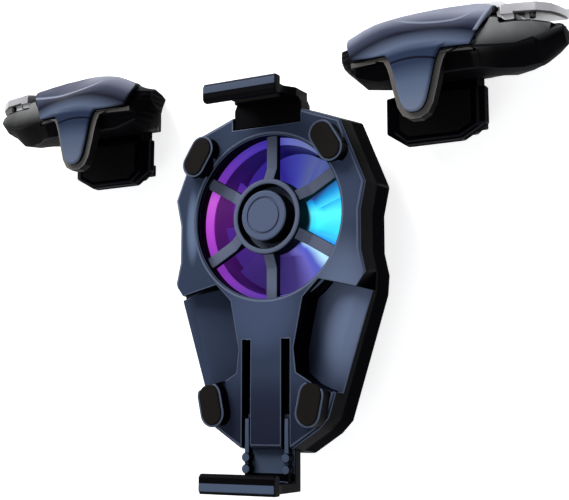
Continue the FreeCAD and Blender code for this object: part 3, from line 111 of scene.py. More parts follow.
class Value:
    """A shader value that can be used in sums; each sum adds its Math node."""

    def __init__(self, shader: "Shader", socket: bpy.types.NodeSocket) -> None:
        """Wraps one output socket of the shader's tree."""
        self.shader = shader
        self.socket = socket

    def __add__(self, other: "Value | float") -> "Value":
        """The sum."""
        return self.shader.maths("ADD", self, other)

    __radd__ = __add__

    def __sub__(self, other: "Value | float") -> "Value":
        """The difference."""
        return self.shader.maths("SUBTRACT", self, other)

    def __rsub__(self, other: "Value | float") -> "Value":
        """The difference the other way round."""
        return self.shader.maths("SUBTRACT", other, self)

    def __mul__(self, other: "Value | float") -> "Value":
        """The product."""
        return self.shader.maths("MULTIPLY", self, other)

    __rmul__ = __mul__

    def __truediv__(self, other: "Value | float") -> "Value":
        """The quotient."""
        return self.shader.maths("DIVIDE", self, other)

    def __pow__(self, other: "Value | float") -> "Value":
        """The power."""
        return self.shader.maths("POWER", self, other)

    def above(self, other: "Value | float") -> "Value":
        """1 where the value is greater than the other, else 0."""
        return self.shader.maths("GREATER_THAN", self, other)

    def absolute(self) -> "Value":
        """The value without its sign."""
        return self.shader.maths("ABSOLUTE", self)

    def at_least(self, other: "Value | float") -> "Value":
        """The larger of the value and the other."""
        return self.shader.maths("MAXIMUM", self, other)

    def between(self, low: float, high: float) -> "Value":
        """0 below the low bound, 1 above the high one and smooth between them."""
        settings = {"interpolation_type": "SMOOTHSTEP"}
        return self.shader.value("ShaderNodeMapRange", settings, {0: self, 1: low, 2: high})

    def line(self, edge: Range) -> "Value":
        """1 where the value is 0, fading out over a range on either side."""
        return 1.0 - self.absolute().between(*edge)

    def wave(self, length: float) -> "Value":
        """A wave from 0 to 1 along the value."""
        return 0.5 + 0.5 * self.shader.maths("SINE", self * (2 * math.pi / length))


class Shader:
    """One material's node tree."""

    def __init__(self, name: str) -> None:
        """Starts an empty tree with an output and a surface shader.

        Args:
            name: the material's name.
        """
        self.material = bpy.data.materials.new(name)
        self.material.use_nodes = True
        self.tree = self.material.node_tree
        self.tree.nodes.clear()
        self.output = self.node("ShaderNodeOutputMaterial")
        self.surface = self.node("ShaderNodeBsdfPrincipled")
        self.link(self.surface.outputs[0], self.output.inputs["Surface"])
        self.place = self.node("ShaderNodeTexCoord").outputs["Object"]

    def link(self, source: bpy.types.NodeSocket, target: bpy.types.NodeSocket) -> None:
        """Joins two sockets."""
        self.tree.links.new(source, target)

    def feed(self, socket: bpy.types.NodeSocket,
             value: "Value | bpy.types.NodeSocket | float | Linear") -> None:
        """Gives a socket a link or a plain value.

        Args:
            socket: the input to feed.
            value: a shader value, another socket, a number or a colour.
        """
        if isinstance(value, Value):
            self.link(value.socket, socket)
        elif isinstance(value, bpy.types.NodeSocket):
            self.link(value, socket)
        else:
            socket.default_value = value

    def node(self, kind: str, settings: dict | None = None, inputs: dict | None = None) -> bpy.types.Node:
        """Adds a node.

        Args:
            kind: the node's type name.
            settings: its properties.
            inputs: values or links for its sockets, by name or number.

        Returns:
            The new node.
        """
        made = self.tree.nodes.new(kind)
        for key, value in (settings or {}).items():
            setattr(made, key, value)
        for key, value in (inputs or {}).items():
            self.feed(made.inputs[key], value)
        return made

    def value(self, kind: str, settings: dict | None = None, inputs: dict | None = None) -> Value:
        """The first output of a new node, for sums."""
        return Value(self, self.node(kind, settings, inputs).outputs[0])

    def maths(self, operation: str, *inputs: Value | float) -> Value:
        """The result of one Math node."""
        return self.value("ShaderNodeMath", {"operation": operation}, dict(enumerate(inputs)))

    def noise(self, scale: float, detail: float = 2.0) -> Value:
        """Noise over the piece, with scale in bumps per metre."""
        inputs = {"Vector": self.place, "Scale": scale, "Detail": detail}
        return self.value("ShaderNodeTexNoise", None, inputs)

    def clouds(self, scale: float) -> Value:
        """Noise with more detail, for uneven tone and sheen."""
        return self.noise(scale, 3.0)

    def axes(self) -> tuple[Value, Value, Value]:
        """The place on the piece, in millimetres."""
        made = self.node("ShaderNodeSeparateXYZ", None, {0: self.place})
        return tuple(Value(self, made.outputs[i]) / MM for i in range(3))

    def unit_place(self, side: Side) -> tuple[Value, Value]:
        """The place on a trigger unit.

        Args:
            side: which unit.

        Returns:
            The distance outwards from its middle, and the height above its shell's foot.
        """
        x, y, _ = self.axes()
        return (x - side.middle) * side.way, y - side.foot

    def facing(self) -> Value:
        """How far the surface looks up out of the faces.

        Returns:
            1 where it looks straight up, 0 sideways and -1 down.
        """
        made = self.node("ShaderNodeTexCoord")
        parts = self.node("ShaderNodeSeparateXYZ", None, {0: made.outputs["Normal"]})
        return Value(self, parts.outputs[2])

    def ramp(self, value: Value, tones: Tones, gain: float = 1.0) -> bpy.types.NodeSocket:
        """A colour for each value.

        Args:
            value: the value that is looked up.
            tones: places from 0 to 1 with their colours.
            gain: what the light of the colours is multiplied by.

        Returns:
            The colour's socket.
        """
        made = self.node("ShaderNodeValToRGB", None, {0: value})
        elements = made.color_ramp.elements
        while len(elements) < len(tones):
            elements.new(0.5)
        for element, (place, colour) in zip(elements, tones):
            element.position = place
            element.color = (*(gain * c for c in linear(*colour)[:3]), 1.0)
        return made.outputs[0]

    def mix(self, share: Value | float, first: "bpy.types.NodeSocket | Linear",
            second: "bpy.types.NodeSocket | Linear") -> bpy.types.NodeSocket:
        """A colour between two, by a share from 0 to 1."""
        made = self.node("ShaderNodeMix", {"data_type": "RGBA"}, {0: share, 6: first, 7: second})
        return made.outputs[2]

    def bump(self, height: Value, strength: float, distance: float) -> None:
        """Raises the surface by a height map, by a distance in metres."""
        settings = {"Strength": strength, "Distance": distance, "Height": height}
        self.link(self.node("ShaderNodeBump", None, settings).outputs[0], self.surface.inputs["Normal"])

    def set(self, **values: object) -> None:
        """Sets or links inputs of the surface shader; a name's underscores stand for spaces."""
        for key, value in values.items():
            self.feed(self.surface.inputs[key.replace("_", " ")], value)


def linear(red: float, green: float, blue: float) -> Linear:
    """A screen colour from 0 to 255 as the linear colour that shaders use.

    Args:
        red: the red channel.
        green: the green channel.
        blue: the blue channel.

    Returns:
        The linear colour, opaque.
    """
    def one(value: float) -> float:
        """One channel."""
        share = value / 255
        return share / 12.92 if share <= 0.04045 else ((share + 0.055) / 1.055) ** 2.4
    return (one(red), one(green), one(blue), 1.0)


@dataclass(frozen=True)
class LightPool:
    """A painted pool of light or shade, a soft area of another tone: its centre, half width, half height
    and colour.
    """

    x: float
    y: float
    wide: float
    high: float
    colour: Colour
    strength: float = 0.85

    def share(self, x: Value, y: Value) -> Value:
        """How much of the pool's painted light or shade a place has.

        Args:
            x: the place across the piece.
            y: the place along it.

        Returns:
            The share, from 0 outside the pool to its strength in the middle.
        """
        across = (x - self.x) / self.wide
        along = (y - self.y) / self.high
        return self.strength * (1.0 - (across * across + along * along).between(0.0, 1.0))


@dataclass(frozen=True)
class Finish:
    """A finish, which builds one material."""

    name: str

    def make(self) -> bpy.types.Material:
        """Builds the material; each kind of finish has its own way."""
        raise NotImplementedError(self.name)


@dataclass(frozen=True)
class MouldedPlastic(Finish):
    """Moulded plastic with a fine grain, slight unevenness of tone and sheen, and rubbed spots.

    Painted shade darkens the side faces, all that lies below a level and the shadows, which are bands
    across the piece, against the faces that look up. Light pools are painted pools of light or shade,
    soft areas of another tone.
    """

    colour: Colour
    # painted shade: the colour of the faces that do not look up
    wall_shade: Colour | None = None
    roughness: float = 0.45
    depth: float = 0.12
    specular: float = 0.35
    turn: Range = (0.25, 0.6)
    level: float = -1.0
    shadows: tuple[Range, ...] = ()
    # painted pools of light and shade
    light_pools: tuple[LightPool, ...] = ()
    tone: float = 0.1
    sheen: float = 0.08
    clouds: float = 70.0
    specks: float = 900.0
    rubbed: float = 0.66
    rub: float = 0.05
    grain: float = 5000.0
    grain_height: float = 0.04

    def shades(self, shader: Shader, cloud: Value, colour: Colour) -> bpy.types.NodeSocket:
        """One colour with its lighter and darker clouds.

        Args:
            shader: the material's tree.
            cloud: the noise that sets the tone.
            colour: the screen colour.

        Returns:
            The clouded colour.
        """
        base = linear(*colour)
        dark = tuple(c * (1 - self.tone) for c in base[:3]) + (1.0,)
        light = tuple(min(1.0, c * (1 + self.tone)) for c in base[:3]) + (1.0,)
        return shader.mix(cloud, dark, light)

    def make(self) -> bpy.types.Material:
        """Builds the material.

        Returns:
            The finished material.
        """
        shader = Shader(self.name)
        cloud = shader.clouds(self.clouds)
        speck = shader.noise(self.specks)
        colour = self.shades(shader, cloud, self.colour)
        x, y, z = shader.axes()
        # painted light and shade: each pool lightens or darkens a soft area
        for pool in self.light_pools:
            colour = shader.mix(pool.share(x, y), colour, self.shades(shader, cloud, pool.colour))
        # painted shade on the side faces, below the level and in the shadow bands
        if self.wall_shade is not None:
            share = shader.facing().between(*self.turn) * z.above(self.level)
            for start, end in self.shadows:
                share = share * (1.0 - y.above(start) * (1.0 - y.above(end)))
            colour = shader.mix(share, self.shades(shader, cloud, self.wall_shade), colour)
        spots = self.rub * speck.above(self.rubbed)
        shader.set(Base_Color=colour, Roughness=self.roughness + self.sheen * (cloud - 0.5) + spots,
                   Specular_IOR_Level=self.specular)
        shader.bump(shader.noise(self.grain), self.depth, self.grain_height * MM)
        return shader.material


@dataclass(frozen=True)
class WingPlastic(Finish):
    """The trigger housing: near-black, its outer wing matte grey in front, its inner end finely ribbed.

    Distances outwards are from the middle between the two units, and heights from the fan's axis.
    The grey shows only on the faces that look up and darkens towards the foot: painted shade.
    """

    body: Colour = (3, 3, 5)
    wing: Colour = (154, 154, 153)
    # the colour the grey fades to towards the foot: painted shade
    foot: Colour = (24, 24, 24)
    middle: float = -6.4
    wing_start: Range = (51.5, 52.2)
    wing_rise: Range = (26.3, 32.3)
    front: Range = (0.55, 0.85)
    ribs_end: Range = (30.0, 32.0)
    rib_pitch: float = 1.1
    rib_height: float = 0.3
    rib_depth: float = 0.5
    roughness: float = 0.55
    sheen: float = 0.1
    specular: float = 0.02
    clouds: float = 90.0
    grain: float = 5000.0
    grain_share: float = 0.05

    def make(self) -> bpy.types.Material:
        """Builds the material.

        Returns:
            The finished material.
        """
        shader = Shader(self.name)
        x, y, _ = shader.axes()
        cloud = shader.clouds(self.clouds)
        out = (x - self.middle).absolute()
        # painted shade: the grey fades to the foot's colour lower down, and the faces that do not look up
        # stay near-black
        grey = shader.mix(y.between(*self.wing_rise), linear(*self.foot), linear(*self.wing))
        wing = shader.facing().between(*self.front) * out.between(*self.wing_start)
        shader.set(Base_Color=shader.mix(wing, linear(*self.body), grey),
                   Roughness=self.roughness + self.sheen * cloud, Specular_IOR_Level=self.specular)
        ribs = y.wave(self.rib_pitch) * (1.0 - out.between(*self.ribs_end))
        grain = self.grain_share * shader.noise(self.grain)
        shader.bump(ribs + grain, self.rib_depth, self.rib_height * MM)
        return shader.material


@dataclass(frozen=True)
class LeverMetal(Finish):
    """Bright satin metal along the top of the finger lever, dark moulding on its core below.

    The metal is broad near the pin and narrow beyond the step, where the lever's top also falls.
    """

    side: Side
    bright: Colour = (186, 186, 190)
    core: Colour = (6, 6, 8)
    top: float = 22.1
    fall: float = 0.1
    fall_start: float = 19.0
    broad: float = 3.2
    narrow: float = 1.5
    step: float = 19.2
    shade: float = 0.9
    metallic: float = 0.75
    roughness: float = 0.32
    sheen: float = 0.1
    clouds: float = 400.0
    grain: float = 6000.0
    grain_height: float = 0.03
    depth: float = 0.1

    def make(self) -> bpy.types.Material:
        """Builds the material.

        Returns:
            The finished material.
        """
        shader = Shader(self.name)
        out, height = shader.unit_place(self.side)
        top = self.top - self.fall * (out - self.fall_start).at_least(0.0)
        band = self.broad - (self.broad - self.narrow) * out.above(self.step)
        metal = (height - (top - band)).above(0.0)
        cloud = shader.clouds(self.clouds)
        dull = linear(*(self.shade * c for c in self.bright))
        bright = shader.mix(cloud, dull, linear(*self.bright))
        shader.set(Base_Color=shader.mix(metal, linear(*self.core), bright),
                   Metallic=self.metallic * metal, Roughness=self.roughness + self.sheen * cloud)
        shader.bump(shader.noise(self.grain), self.depth, self.grain_height * MM)
        return shader.material


@dataclass(frozen=True)
class Crease:
    """The line below the shell's crown: a bow, with a steeper rise towards the outer end."""

    base: float
    bend: float
    centre: float
    rise: float = 0.0
    rise_start: float = 7.0

    def height(self, out: Value) -> Value:
        """The line's height at a distance outwards.

        Args:
            out: the distance from the unit's middle.

        Returns:
            The height above the shell's foot.
        """
        beyond = (out - self.rise_start).at_least(0.0)
        bow = self.bend * (out - self.centre) * (out - self.centre)
        return self.base + bow + self.rise * beyond * beyond


@dataclass(frozen=True)
class ShadedPearlPaint(Finish):
    """Satin pearl paint, its tone turning with height along the shell's folds, with light and shade
    painted in.

    The tones are levels above the shell's foot with their colours, from the tongue's tip to the crown,
    and the levels sink towards both ends; their light and dark bands are painted light and shade. A
    painted highlight follows the crease below the crown, a line of painted shade crosses the tongue's
    root at the fold, and a painted highlight may run along the chamfered outer end. Painted shade also
    falls on the top of a shell and on the faces that do not look up.
    """

    side: Side
    crease: Crease
    top_shade: float = 0.0
    chamfer: float = 0.0
    gain: float = 1.0
    reach: float = 27.0
    sink: float = 0.0155
    sink_centre: float = 2.0
    ripple: float = 0.3
    top_shade_out: Range = (-2.0, 6.0)
    top_shade_level: Range = (20.5, 22.5)
    top_shade_colour: Colour = (66, 70, 92)
    crease_highlight_strength: float = 0.7
    crease_edge: Range = (0.15, 0.45)
    crease_from: Range = (-7.0, -2.0)
    crease_highlight_colour: Colour = (168, 175, 196)
    fold: float = 13.5
    fold_bend: float = 0.03
    fold_shade_strength: float = 0.9
    fold_edge: Range = (0.12, 0.32)
    fold_half: Range = (6.2, 6.8)
    fold_shade_colour: Colour = (6, 9, 22)
    chamfer_foot: tuple[float, float] = (12.4, 17.7)
    chamfer_slope: float = 0.512
    chamfer_edge: Range = (0.35, 0.6)
    chamfer_from: Range = (17.4, 17.9)
    chamfer_highlight_colour: Colour = (170, 178, 198)
    turn: Range = (0.12, 0.42)
    wall_shade: Colour = (5, 7, 15)
    roughness: float = 0.4
    sheen: float = 0.05
    flake_sheen: float = 0.08
    specular: float = 0.03
    clouds: float = 50.0
    flakes: float = 7000.0
    grain: float = 1500.0
    grain_height: float = 0.03
    depth: float = 0.03
    # painted light and shade by level: light bands where the shell meets the light, dark ones in its
    # folds
    tones: Tones = (
        (2.0, (140, 150, 176)), (9.0, (104, 120, 148)), (12.5, (54, 66, 95)), (14.8, (52, 65, 94)),
        (16.5, (114, 128, 156)), (19.3, (12, 17, 38)), (21.5, (76, 82, 106)), (24.2, (168, 172, 190)))

    def ground(self, shader: Shader, level: Value) -> bpy.types.NodeSocket:
        """The paint by level alone, with its painted light and shade.

        Args:
            shader: the material's tree.
            level: the height above the shell's foot, sunk towards the ends.

        Returns:
            The colour.
        """
        tones = tuple((place / self.reach, colour) for place, colour in self.tones)
        return shader.ramp(level / self.reach, tones, self.gain)

    def lines(self, shader: Shader, paint: bpy.types.NodeSocket, out: Value,
              height: Value) -> bpy.types.NodeSocket:
        """Paints the crease's highlight, the fold's shade line and the chamfered end's highlight.

        Args:
            shader: the material's tree.
            paint: the colour so far.
            out: the distance outwards from the unit's middle.
            height: the height above the shell's foot.

        Returns:
            The colour with its lines.
        """
        off = height - self.crease.height(out)
        # painted highlight along the crease
        crease = self.crease_highlight_strength * off.line(self.crease_edge) * out.between(*self.crease_from)
        paint = shader.mix(crease, paint, linear(*self.crease_highlight_colour))
        off = height - self.fold + self.fold_bend * out * out
        # painted shade along the fold
        fold = self.fold_shade_strength * off.line(self.fold_edge) * out.line(self.fold_half)
        paint = shader.mix(fold, paint, linear(*self.fold_shade_colour))
        foot_out, foot_height = self.chamfer_foot
        off = out - foot_out - self.chamfer_slope * (height - foot_height)
        # painted highlight along the chamfered outer end
        chamfer = self.chamfer * off.line(self.chamfer_edge) * height.between(*self.chamfer_from)
        return shader.mix(chamfer, paint, linear(*self.chamfer_highlight_colour))

    def make(self) -> bpy.types.Material:
        """Builds the material.

        Returns:
            The finished material.
        """
        shader = Shader(self.name)
        cloud = shader.noise(self.clouds)
        flake = shader.noise(self.flakes, 1.0)
        out, height = shader.unit_place(self.side)
        aside = out - self.sink_centre
        level = height + self.sink * aside * aside + self.ripple * (cloud - 0.5)
        # painted shade over the top of a shell
        top_shade = self.top_shade * out.between(*self.top_shade_out) * level.between(*self.top_shade_level)
        paint = shader.mix(top_shade, self.ground(shader, level), linear(*self.top_shade_colour))
        paint = self.lines(shader, paint, out, height)
        # painted shade on the faces that do not look up
        paint = shader.mix(shader.facing().between(*self.turn), linear(*self.wall_shade), paint)
        roughness = self.roughness + self.flake_sheen * flake + self.sheen * cloud
        shader.set(Base_Color=paint, Roughness=roughness, Specular_IOR_Level=self.specular)
        shader.bump(shader.noise(self.grain), self.depth, self.grain_height * MM)
        return shader.material


@dataclass(frozen=True)
class Metal(Finish):
    """Drawn or cast metal with fine lines and uneven sheen."""

    colour: Colour
    roughness: float = 0.25
    shade: float = 0.85
    sheen: float = 0.12
    clouds: float = 300.0
    grain: float = 6000.0
    grain_height: float = 0.03
    depth: float = 0.1

    def make(self) -> bpy.types.Material:
        """Builds the material.

        Returns:
            The finished material.
        """
        shader = Shader(self.name)
        cloud = shader.clouds(self.clouds)
        base = linear(*self.colour)
        dark = tuple(c * self.shade for c in base[:3]) + (1.0,)
        shader.set(Base_Color=shader.mix(cloud, dark, base), Metallic=1.0,
                   Roughness=self.roughness + self.sheen * (cloud - 0.5))
        shader.bump(shader.noise(self.grain), self.depth, self.grain_height * MM)
        return shader.material


@dataclass(frozen=True)
class Glow(Finish):
    """Milky plastic that glows, its colour turning round the fan: the light ring's own light, and painted
    light on the duct, the LED board and the fan's blades, which the ring lights.

    It is dark inside the first radius, glows beyond the second and is painted dark again past the rim, as
    shade where the ring shows through a gap. The tones run from the left over the bottom, the right and
    the top back to the left.
    """

    strength: float
    inner: float = 1.0
    outer: float = 2.0
    # past the rim: painted shade
    rim: float = 1000.0
    tones: Tones = (
        (0.0, (182, 74, 208)), (0.08, (136, 52, 176)), (0.18, (95, 50, 150)), (0.25, (70, 45, 140)),
        (0.29, (120, 115, 200)), (0.33, (80, 90, 190)), (0.37, (190, 240, 255)), (0.41, (60, 110, 210)),
        (0.46, (60, 215, 245)), (0.52, (90, 245, 255)), (0.57, (40, 190, 235)), (0.61, (50, 80, 150)),
        (0.67, (105, 115, 165)), (0.72, (95, 100, 180)), (0.76, (55, 45, 150)), (0.84, (80, 50, 160)),
        (0.9, (110, 50, 170)), (0.95, (196, 92, 212)), (1.0, (182, 74, 208)))
    unlit: Linear = (0.075, 0.0625, 0.15, 1.0)
    ember: Linear = (0.01, 0.008, 0.03, 1.0)
    outside: Colour = (4, 4, 6)
    shade: float = 0.5
    waver: float = 0.02
    clouds: float = 160.0
    roughness: float = 0.3
    sheen: float = 0.1
    specular: float = 0.1

    def make(self) -> bpy.types.Material:
        """Builds the material.

        Returns:
            The finished material.
        """
        shader = Shader(self.name)
        x, y, _ = shader.axes()
        wave = shader.noise(self.clouds)
        share = shader.maths("ARCTAN2", y, x) / (2 * math.pi) + 0.5 + self.waver * (wave - 0.5)
        tint = shader.ramp(share, self.tones)
        reach = (x * x + y * y) ** 0.5
        lit = reach.between(self.inner, self.outer)
        beyond = reach.above(self.rim)
        body = shader.mix(beyond, shader.mix(lit, self.unlit, tint), linear(*self.outside))
        light = shader.mix(beyond, shader.mix(lit, self.ember, tint), BLACK)
        shader.set(Base_Color=shader.mix(self.shade, body, BLACK), Emission_Color=light,
                   Emission_Strength=self.strength, Roughness=self.roughness + self.sheen * wave,
                   Specular_IOR_Level=self.specular)
        return shader.material


@dataclass
class Finishes:
    """Every finish of the set, made once."""

    made: dict[str, bpy.types.Material] = field(default_factory=dict)
    slate: Colour = (65, 76, 100)
    # painted shade on the side faces of the slate, guard and arms
    dark: Colour = (3, 3, 6)
    # painted light over the middle, the right panel, the right side above it and the fan's left rim;
    # painted shade over the bottom
    light_pools: tuple[LightPool, ...] = (
        LightPool(-1.5, -19.0, 11.0, 11.0, (88, 102, 134)), LightPool(17.0, -20.0, 9.0, 18.0, (128, 143, 174)),
        LightPool(-17.9, -1.0, 1.9, 9.0, (126, 146, 178)), LightPool(0.0, -43.0, 18.0, 12.0, (42, 46, 66)),
        LightPool(18.5, 5.0, 4.0, 12.0, (78, 90, 118)))
    # painted light of the LED ring on the fan's blades
    blade_painted_light: Tones = (
        (0.0, (74, 38, 132)), (0.1, (58, 34, 112)), (0.2, (46, 30, 92)), (0.27, (60, 48, 112)),
        (0.31, (104, 98, 176)), (0.35, (84, 92, 190)), (0.38, (190, 235, 250)), (0.42, (50, 120, 215)),
        (0.46, (60, 220, 245)), (0.53, (90, 240, 255)), (0.58, (30, 150, 215)), (0.61, (40, 60, 120)),
        (0.67, (84, 96, 150)), (0.73, (62, 66, 160)), (0.8, (44, 34, 130)), (0.87, (56, 34, 136)),
        (0.94, (100, 46, 150)), (1.0, (74, 38, 132)))

    def covers(self) -> list[Finish]:
        """The finishes of the cooler's covers, guard, cap and arms.

        Returns:
            The finishes.
        """
        return [
            # slate: painted shade on its side faces, and its painted pools of light and shade
            MouldedPlastic("slate", self.slate, self.dark, specular=0.02, turn=(0.45, 0.8),
                           light_pools=self.light_pools),
            # a lighter tone on the rounded edges: painted highlight
            MouldedPlastic("slate_edge", (112, 124, 149), (10, 11, 17), 0.35, specular=0.04,
                           turn=(0.3, 0.6)),
            # guard: the slate made lighter, painted light on the guard, which sits deep in shade
            MouldedPlastic("guard", (118, 126, 150), self.dark, specular=0.02, turn=(0.45, 0.8)),
            MouldedPlastic("arm", (96, 112, 138), self.dark, specular=0.03, turn=(0.8, 0.95),
                           shadows=((-40.3, 0.0), (-53.5, -52.0), (-60.0, -55.2))),
            # below the level: painted shadow of the lip on the arm's foot
            MouldedPlastic("top_arm", (92, 102, 124), self.dark, specular=0.03, turn=(0.8, 0.95),
                           level=19.5, shadows=((0.0, 24.2),)),
            MouldedPlastic("hub", (104, 116, 146), (8, 9, 13), 0.4, specular=0.05),
            MouldedPlastic("black", (2, 2, 5), None, 0.7, specular=0.01),
            # a lighter tone on the rounded edges of black parts: painted highlight
            MouldedPlastic("black_edge", (18, 19, 24), None, 0.5, specular=0.05),
            MouldedPlastic("rubber", (30, 27, 25), None, 0.8, depth=0.5, specular=0.08)]

    def trigger_parts(self) -> list[Finish]:
        """The finishes of the trigger units.

        Returns:
            The finishes.
        """
        return [
            WingPlastic("housing"),
            MouldedPlastic("wing", (120, 116, 112), (4, 4, 5), 0.5, specular=0.03, turn=(0.75, 0.95)),
            # a lighter tone on the wing's rounded edges: painted highlight
            MouldedPlastic("wing_edge", (140, 136, 131), (8, 8, 9), 0.4, specular=0.04, turn=(0.7, 0.95)),
            MouldedPlastic("shell", (70, 82, 112), None, 0.4),
            # painted highlight on the right shell's chamfered end; painted shade over the left shell's
            # top and, by its gain, over all of it
            ShadedPearlPaint("right_paint", Side.RIGHT, Crease(21.2, 0.02, 5.0, 0.06), chamfer=0.85),
            ShadedPearlPaint("left_paint", Side.LEFT, Crease(20.5, 0.008, 10.0), top_shade=0.85, gain=0.72),
            MouldedPlastic("jaw_rubber", (8, 8, 8), None, 0.8, depth=0.5, specular=0.05),
            Metal("lever", (225, 226, 230), 0.35),
            *(LeverMetal(side.word + "_lever", side) for side in Side)]

    def works(self) -> list[Finish]:
        """The finishes of the lit parts and of what lies inside.

        Returns:
            The finishes.
        """
        return [
            MouldedPlastic("board", (10, 46, 32), None, 0.4),
            MouldedPlastic("magnet", (30, 30, 32), None, 0.5),
            Metal("steel", (160, 162, 168), 0.3),
            Metal("bronze", (170, 120, 70), 0.35),
            Metal("copper", (184, 110, 60), 0.3),
            # the ring's own light, painted dark past the rim as shade
            Glow("light", 1.0, rim=17.3),
            # painted light from the ring on the duct and LED board, and on the fan's blades
            Glow("duct", 0.12, rim=17.3),
            Glow("fan", 1.0, 5.6, 6.6, tones=self.blade_painted_light)]

    def build(self) -> None:
        """Makes the materials, one for each of the record's slots and some for parts of a piece."""
        for finish in self.covers() + self.trigger_parts() + self.works():
            self.made[finish.name] = finish.make()

    def dress(self, obj: bpy.types.Object, *names: str) -> None:
        """Gives a piece its finishes, the first one for all faces that have no other.

        Args:
            obj: the piece.
            names: the finishes, one for each of its material slots.
        """
        obj.data.materials.clear()
        for name in names:
            obj.data.materials.append(self.made[name])


# Modelling


class Bench:
    """Hand modelling with Blender's own tools, one piece at a time; its angles are in degrees."""

    weld: float = 0.002
    flat: float = 0.6
    shortest: float = 0.05
    soft: float = 50.0
    softer: float = 65.0
    upward: float = 0.9

    @staticmethod
    def alone(obj: bpy.types.Object) -> None:
        """Makes one object the only selected and the active one.

        Args:
            obj: the object.
        """
        bpy.ops.object.select_all(action="DESELECT")
        obj.select_set(True)
        bpy.context.view_layer.objects.active = obj

    @staticmethod
    def copy(source: bpy.types.Object, name: str) -> bpy.types.Object:
        """Copies an object's mesh into a new piece at the origin.

        Args:
            source: the object whose mesh is copied.
            name: the new piece's name.

        Returns:
            The new piece.
        """
        piece = bpy.data.objects.new(name, source.data.copy())
        bpy.context.scene.collection.objects.link(piece)
        return piece

    @staticmethod
    def pick_faces(obj: bpy.types.Object, wanted: Callable[[bpy.types.MeshPolygon], bool]) -> None:
        """Selects the faces that a test picks, and nothing else.

        Args:
            obj: the piece.
            wanted: the test for one face.
        """
        Bench.alone(obj)
        bpy.ops.object.mode_set(mode="EDIT")
        bpy.ops.mesh.select_mode(type="FACE")
        bpy.ops.mesh.select_all(action="DESELECT")
        bpy.ops.object.mode_set(mode="OBJECT")
        for face in obj.data.polygons:
            face.select = wanted(face)

    @staticmethod
    def heal(obj: bpy.types.Object, merge: bool = True) -> None:
        """Joins loose triangles and, if asked to, merges the flat ones.

        Args:
            obj: the piece.
            merge: whether neighbours in one plane become one face.
        """
        Bench.alone(obj)
        bpy.ops.object.mode_set(mode="EDIT")
        bpy.ops.mesh.select_all(action="SELECT")
        bpy.ops.mesh.remove_doubles(threshold=Bench.weld * MM)
        if merge:
            bpy.ops.mesh.dissolve_limited(angle_limit=math.radians(Bench.flat))
        bpy.ops.object.mode_set(mode="OBJECT")

    @staticmethod
    def modify(obj: bpy.types.Object, kind: str, **settings: object) -> None:
        """Adds one modifier and applies it.

        Args:
            obj: the piece.
            kind: the modifier's type.
            settings: its settings by name.
        """
        Bench.alone(obj)
        modifier = obj.modifiers.new(kind.lower(), kind)
        for key, value in settings.items():
            setattr(modifier, key, value)
        bpy.ops.object.modifier_apply(modifier=modifier.name)

    @staticmethod
    def weigh_edges(obj: bpy.types.Object, sharp: float) -> None:
        """Marks the outward edges that are to be rounded.

        Args:
            obj: the piece.
            sharp: the smallest angle between two faces, in degrees.
        """
        mesh = bmesh.new()
        mesh.from_mesh(obj.data)
        layer = mesh.edges.layers.float.new("bevel_weight_edge")
        for edge in mesh.edges:
            if len(edge.link_faces) == 2 and edge.calc_length() > Bench.shortest * MM:
                edge[layer] = float(edge.calc_face_angle_signed(0.0) > math.radians(sharp))
        mesh.to_mesh(obj.data)
        mesh.free()

    @staticmethod
    def round_edges(obj: bpy.types.Object, width: float, steps: int = 2, sharp: float = 26.0,
                    tint: int = -1, even: bool = True) -> None:
        """Rounds the outward edges sharper than an angle and shades the rest smooth.

        Args:
            obj: the piece.
            width: the rounding's width.
            steps: its number of steps.
            sharp: the smallest angle, in degrees, that is rounded.
            tint: the material slot of the rounded edges' painted highlight, or -1 for their neighbours'
                own.
            even: whether flat faces are kept flat in the shading.
        """
        Bench.weigh_edges(obj, sharp)
        Bench.modify(obj, "BEVEL", width=width * MM, segments=steps, limit_method="WEIGHT",
                     use_clamp_overlap=False, material=tint)
        smooth = Bench.soft if even else Bench.softer
        bpy.ops.object.shade_smooth_by_angle(angle=math.radians(smooth))
        if even:
            Bench.modify(obj, "WEIGHTED_NORMAL", weight=100, keep_sharp=True)


@dataclass(frozen=True)
class Look:
    """How a carried-over node is rounded and finished; an edge sharper than the angle is rounded."""

    width: float
    finish: str | None = None
    # the finish of the rounded edges, a lighter tone: painted highlight
    edge: str | None = None
    sharp: float = 26.0
    even: bool = True


